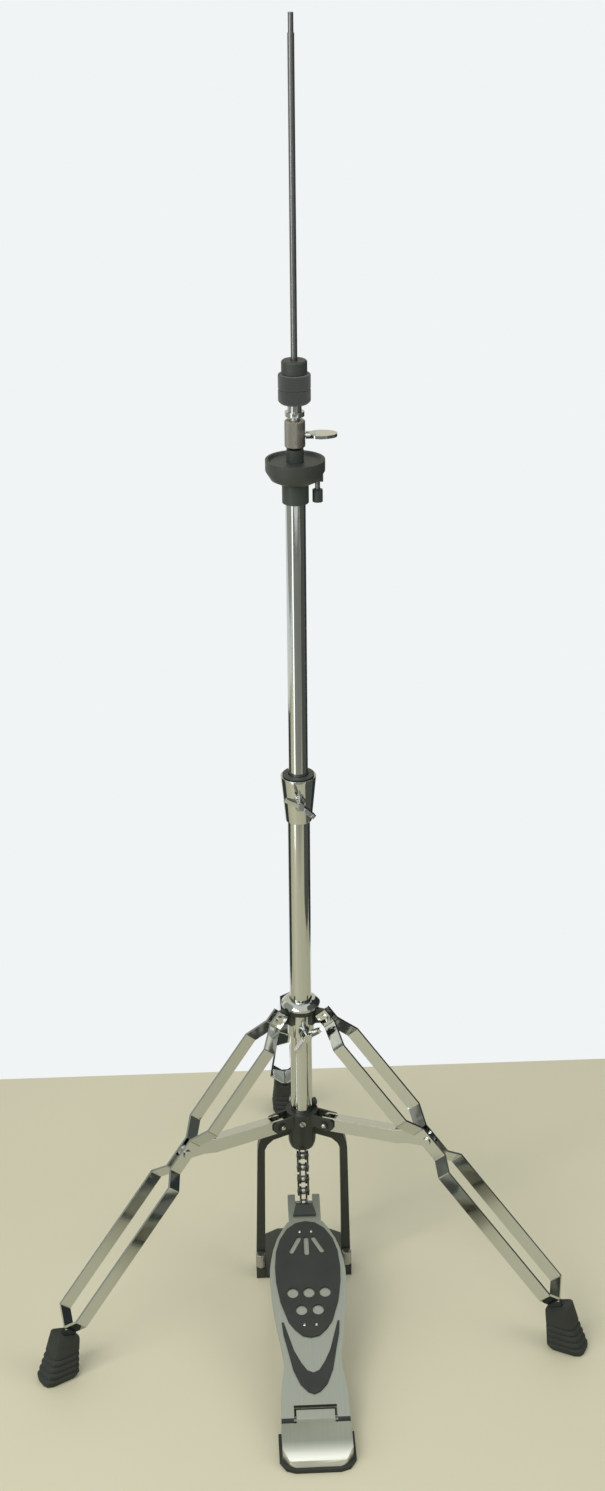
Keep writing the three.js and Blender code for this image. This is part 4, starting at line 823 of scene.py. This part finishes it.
def makeHingeSeamShade():
    # painted shade: black pieces in the rubber finish fill the hinge's seam, a sleeve over each of the
    # board's knuckles and a strip before the heel's edge, and stand in for the shade deep in the seam
    place = Matrix.Translation(Vector(joint["pedal_press"]["pos_m"]))
    swing, steps = hingeSeamShade["end"] - hingeSeamShade["start"], hingeSeamShade["steps"]
    angles = [math.radians(hingeSeamShade["start"] + swing * step / steps) for step in range(steps + 1)]
    outer = hingeSeamShade["radius"]
    inner = outer - hingeSeamShade["thickness"]
    sleeve = [(-outer * math.sin(angle), outer * math.cos(angle)) for angle in angles]
    sleeve += [(-inner * math.sin(angle), inner * math.cos(angle)) for angle in angles[::-1]]
    strip = [(-hingeSeamShade["edge"], hingeSeamShade["low"]), (-hingeSeamShade["front"], hingeSeamShade["low"]),
             (-hingeSeamShade["front"], hingeSeamShade["top"]), (-hingeSeamShade["edge"], hingeSeamShade["top"])]
    heel = frame["nodes"]["heel_plate"]["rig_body"]
    for side, way in (("left", -1), ("right", 1)):
        width = way * (hingeSeamShade["outer"] - hingeSeamShade["inner"]) * mm
        for name, section, body in (("sleeve", sleeve, "pedal"), ("strip", strip, heel)):
            shape = bmesh.new()
            corners = [shape.verts.new((way * hingeSeamShade["inner"] * mm, y * mm, z * mm)) for y, z in section]
            raised(shape, [shape.faces.new(corners)], (width, 0, 0))
            bmesh.ops.recalc_face_normals(shape, faces=shape.faces)
            makePiece(f"hinge_{name}_{side}", moved(shape, place), rubber, body, "black_rubber")


coil = {"wire": 1.1, "turns": 13, "sides": 10, "perTurn": 20}


def makeSpring():
    # return spring wound from wire, where the CAD has a plain tube
    node = "return_spring"
    low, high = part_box(node)
    wire = coil["wire"] * mm
    radius = (high[0] - low[0]) / 2 - wire
    steps = coil["turns"] * coil["perTurn"]
    shape = bmesh.new()
    bmesh.ops.create_circle(shape, segments=coil["sides"], radius=wire)
    moved(shape, Matrix.Translation((radius, 0, low[2] + wire)) @ Matrix.Rotation(math.pi / 2, 4, "X"))
    bmesh.ops.spin(shape, geom=shape.verts[:] + shape.edges[:], axis=(0, 0, 1), steps=steps,
                   angle=2 * math.pi * coil["turns"], dvec=(0, 0, (high[2] - low[2] - 2 * wire) / steps))
    bmesh.ops.holes_fill(shape, edges=[edge for edge in shape.edges if edge.is_boundary])
    bmesh.ops.recalc_face_normals(shape, faces=shape.faces)
    piece = makePiece(node + "_coil", shape, slotFinish[slotOf[node]], frame["nodes"][node]["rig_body"],
                      slotOf[node], node)
    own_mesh(piece)


makeChain()
makeSpring()
makeTongueGapShade()
makeHingeSeamShade()
makeBraceRivets()
makeStuds()
makeTiltScrew()
makeSpur("spur_left")
makeSpur("spur_right")
makeHubScrew()
print("stage: small parts made")

builtAfresh = ["tilt_screw", "spur_left", "spur_right", "hub_screw", "return_spring"]
builtAfresh += [f"chain_link_{number}" for number in range(1, chainPart["links"] + 1)]
for node in frame["nodes"]:
    if node not in builtAfresh:
        softEdged(node)
print("stage: nodes rounded and finished")
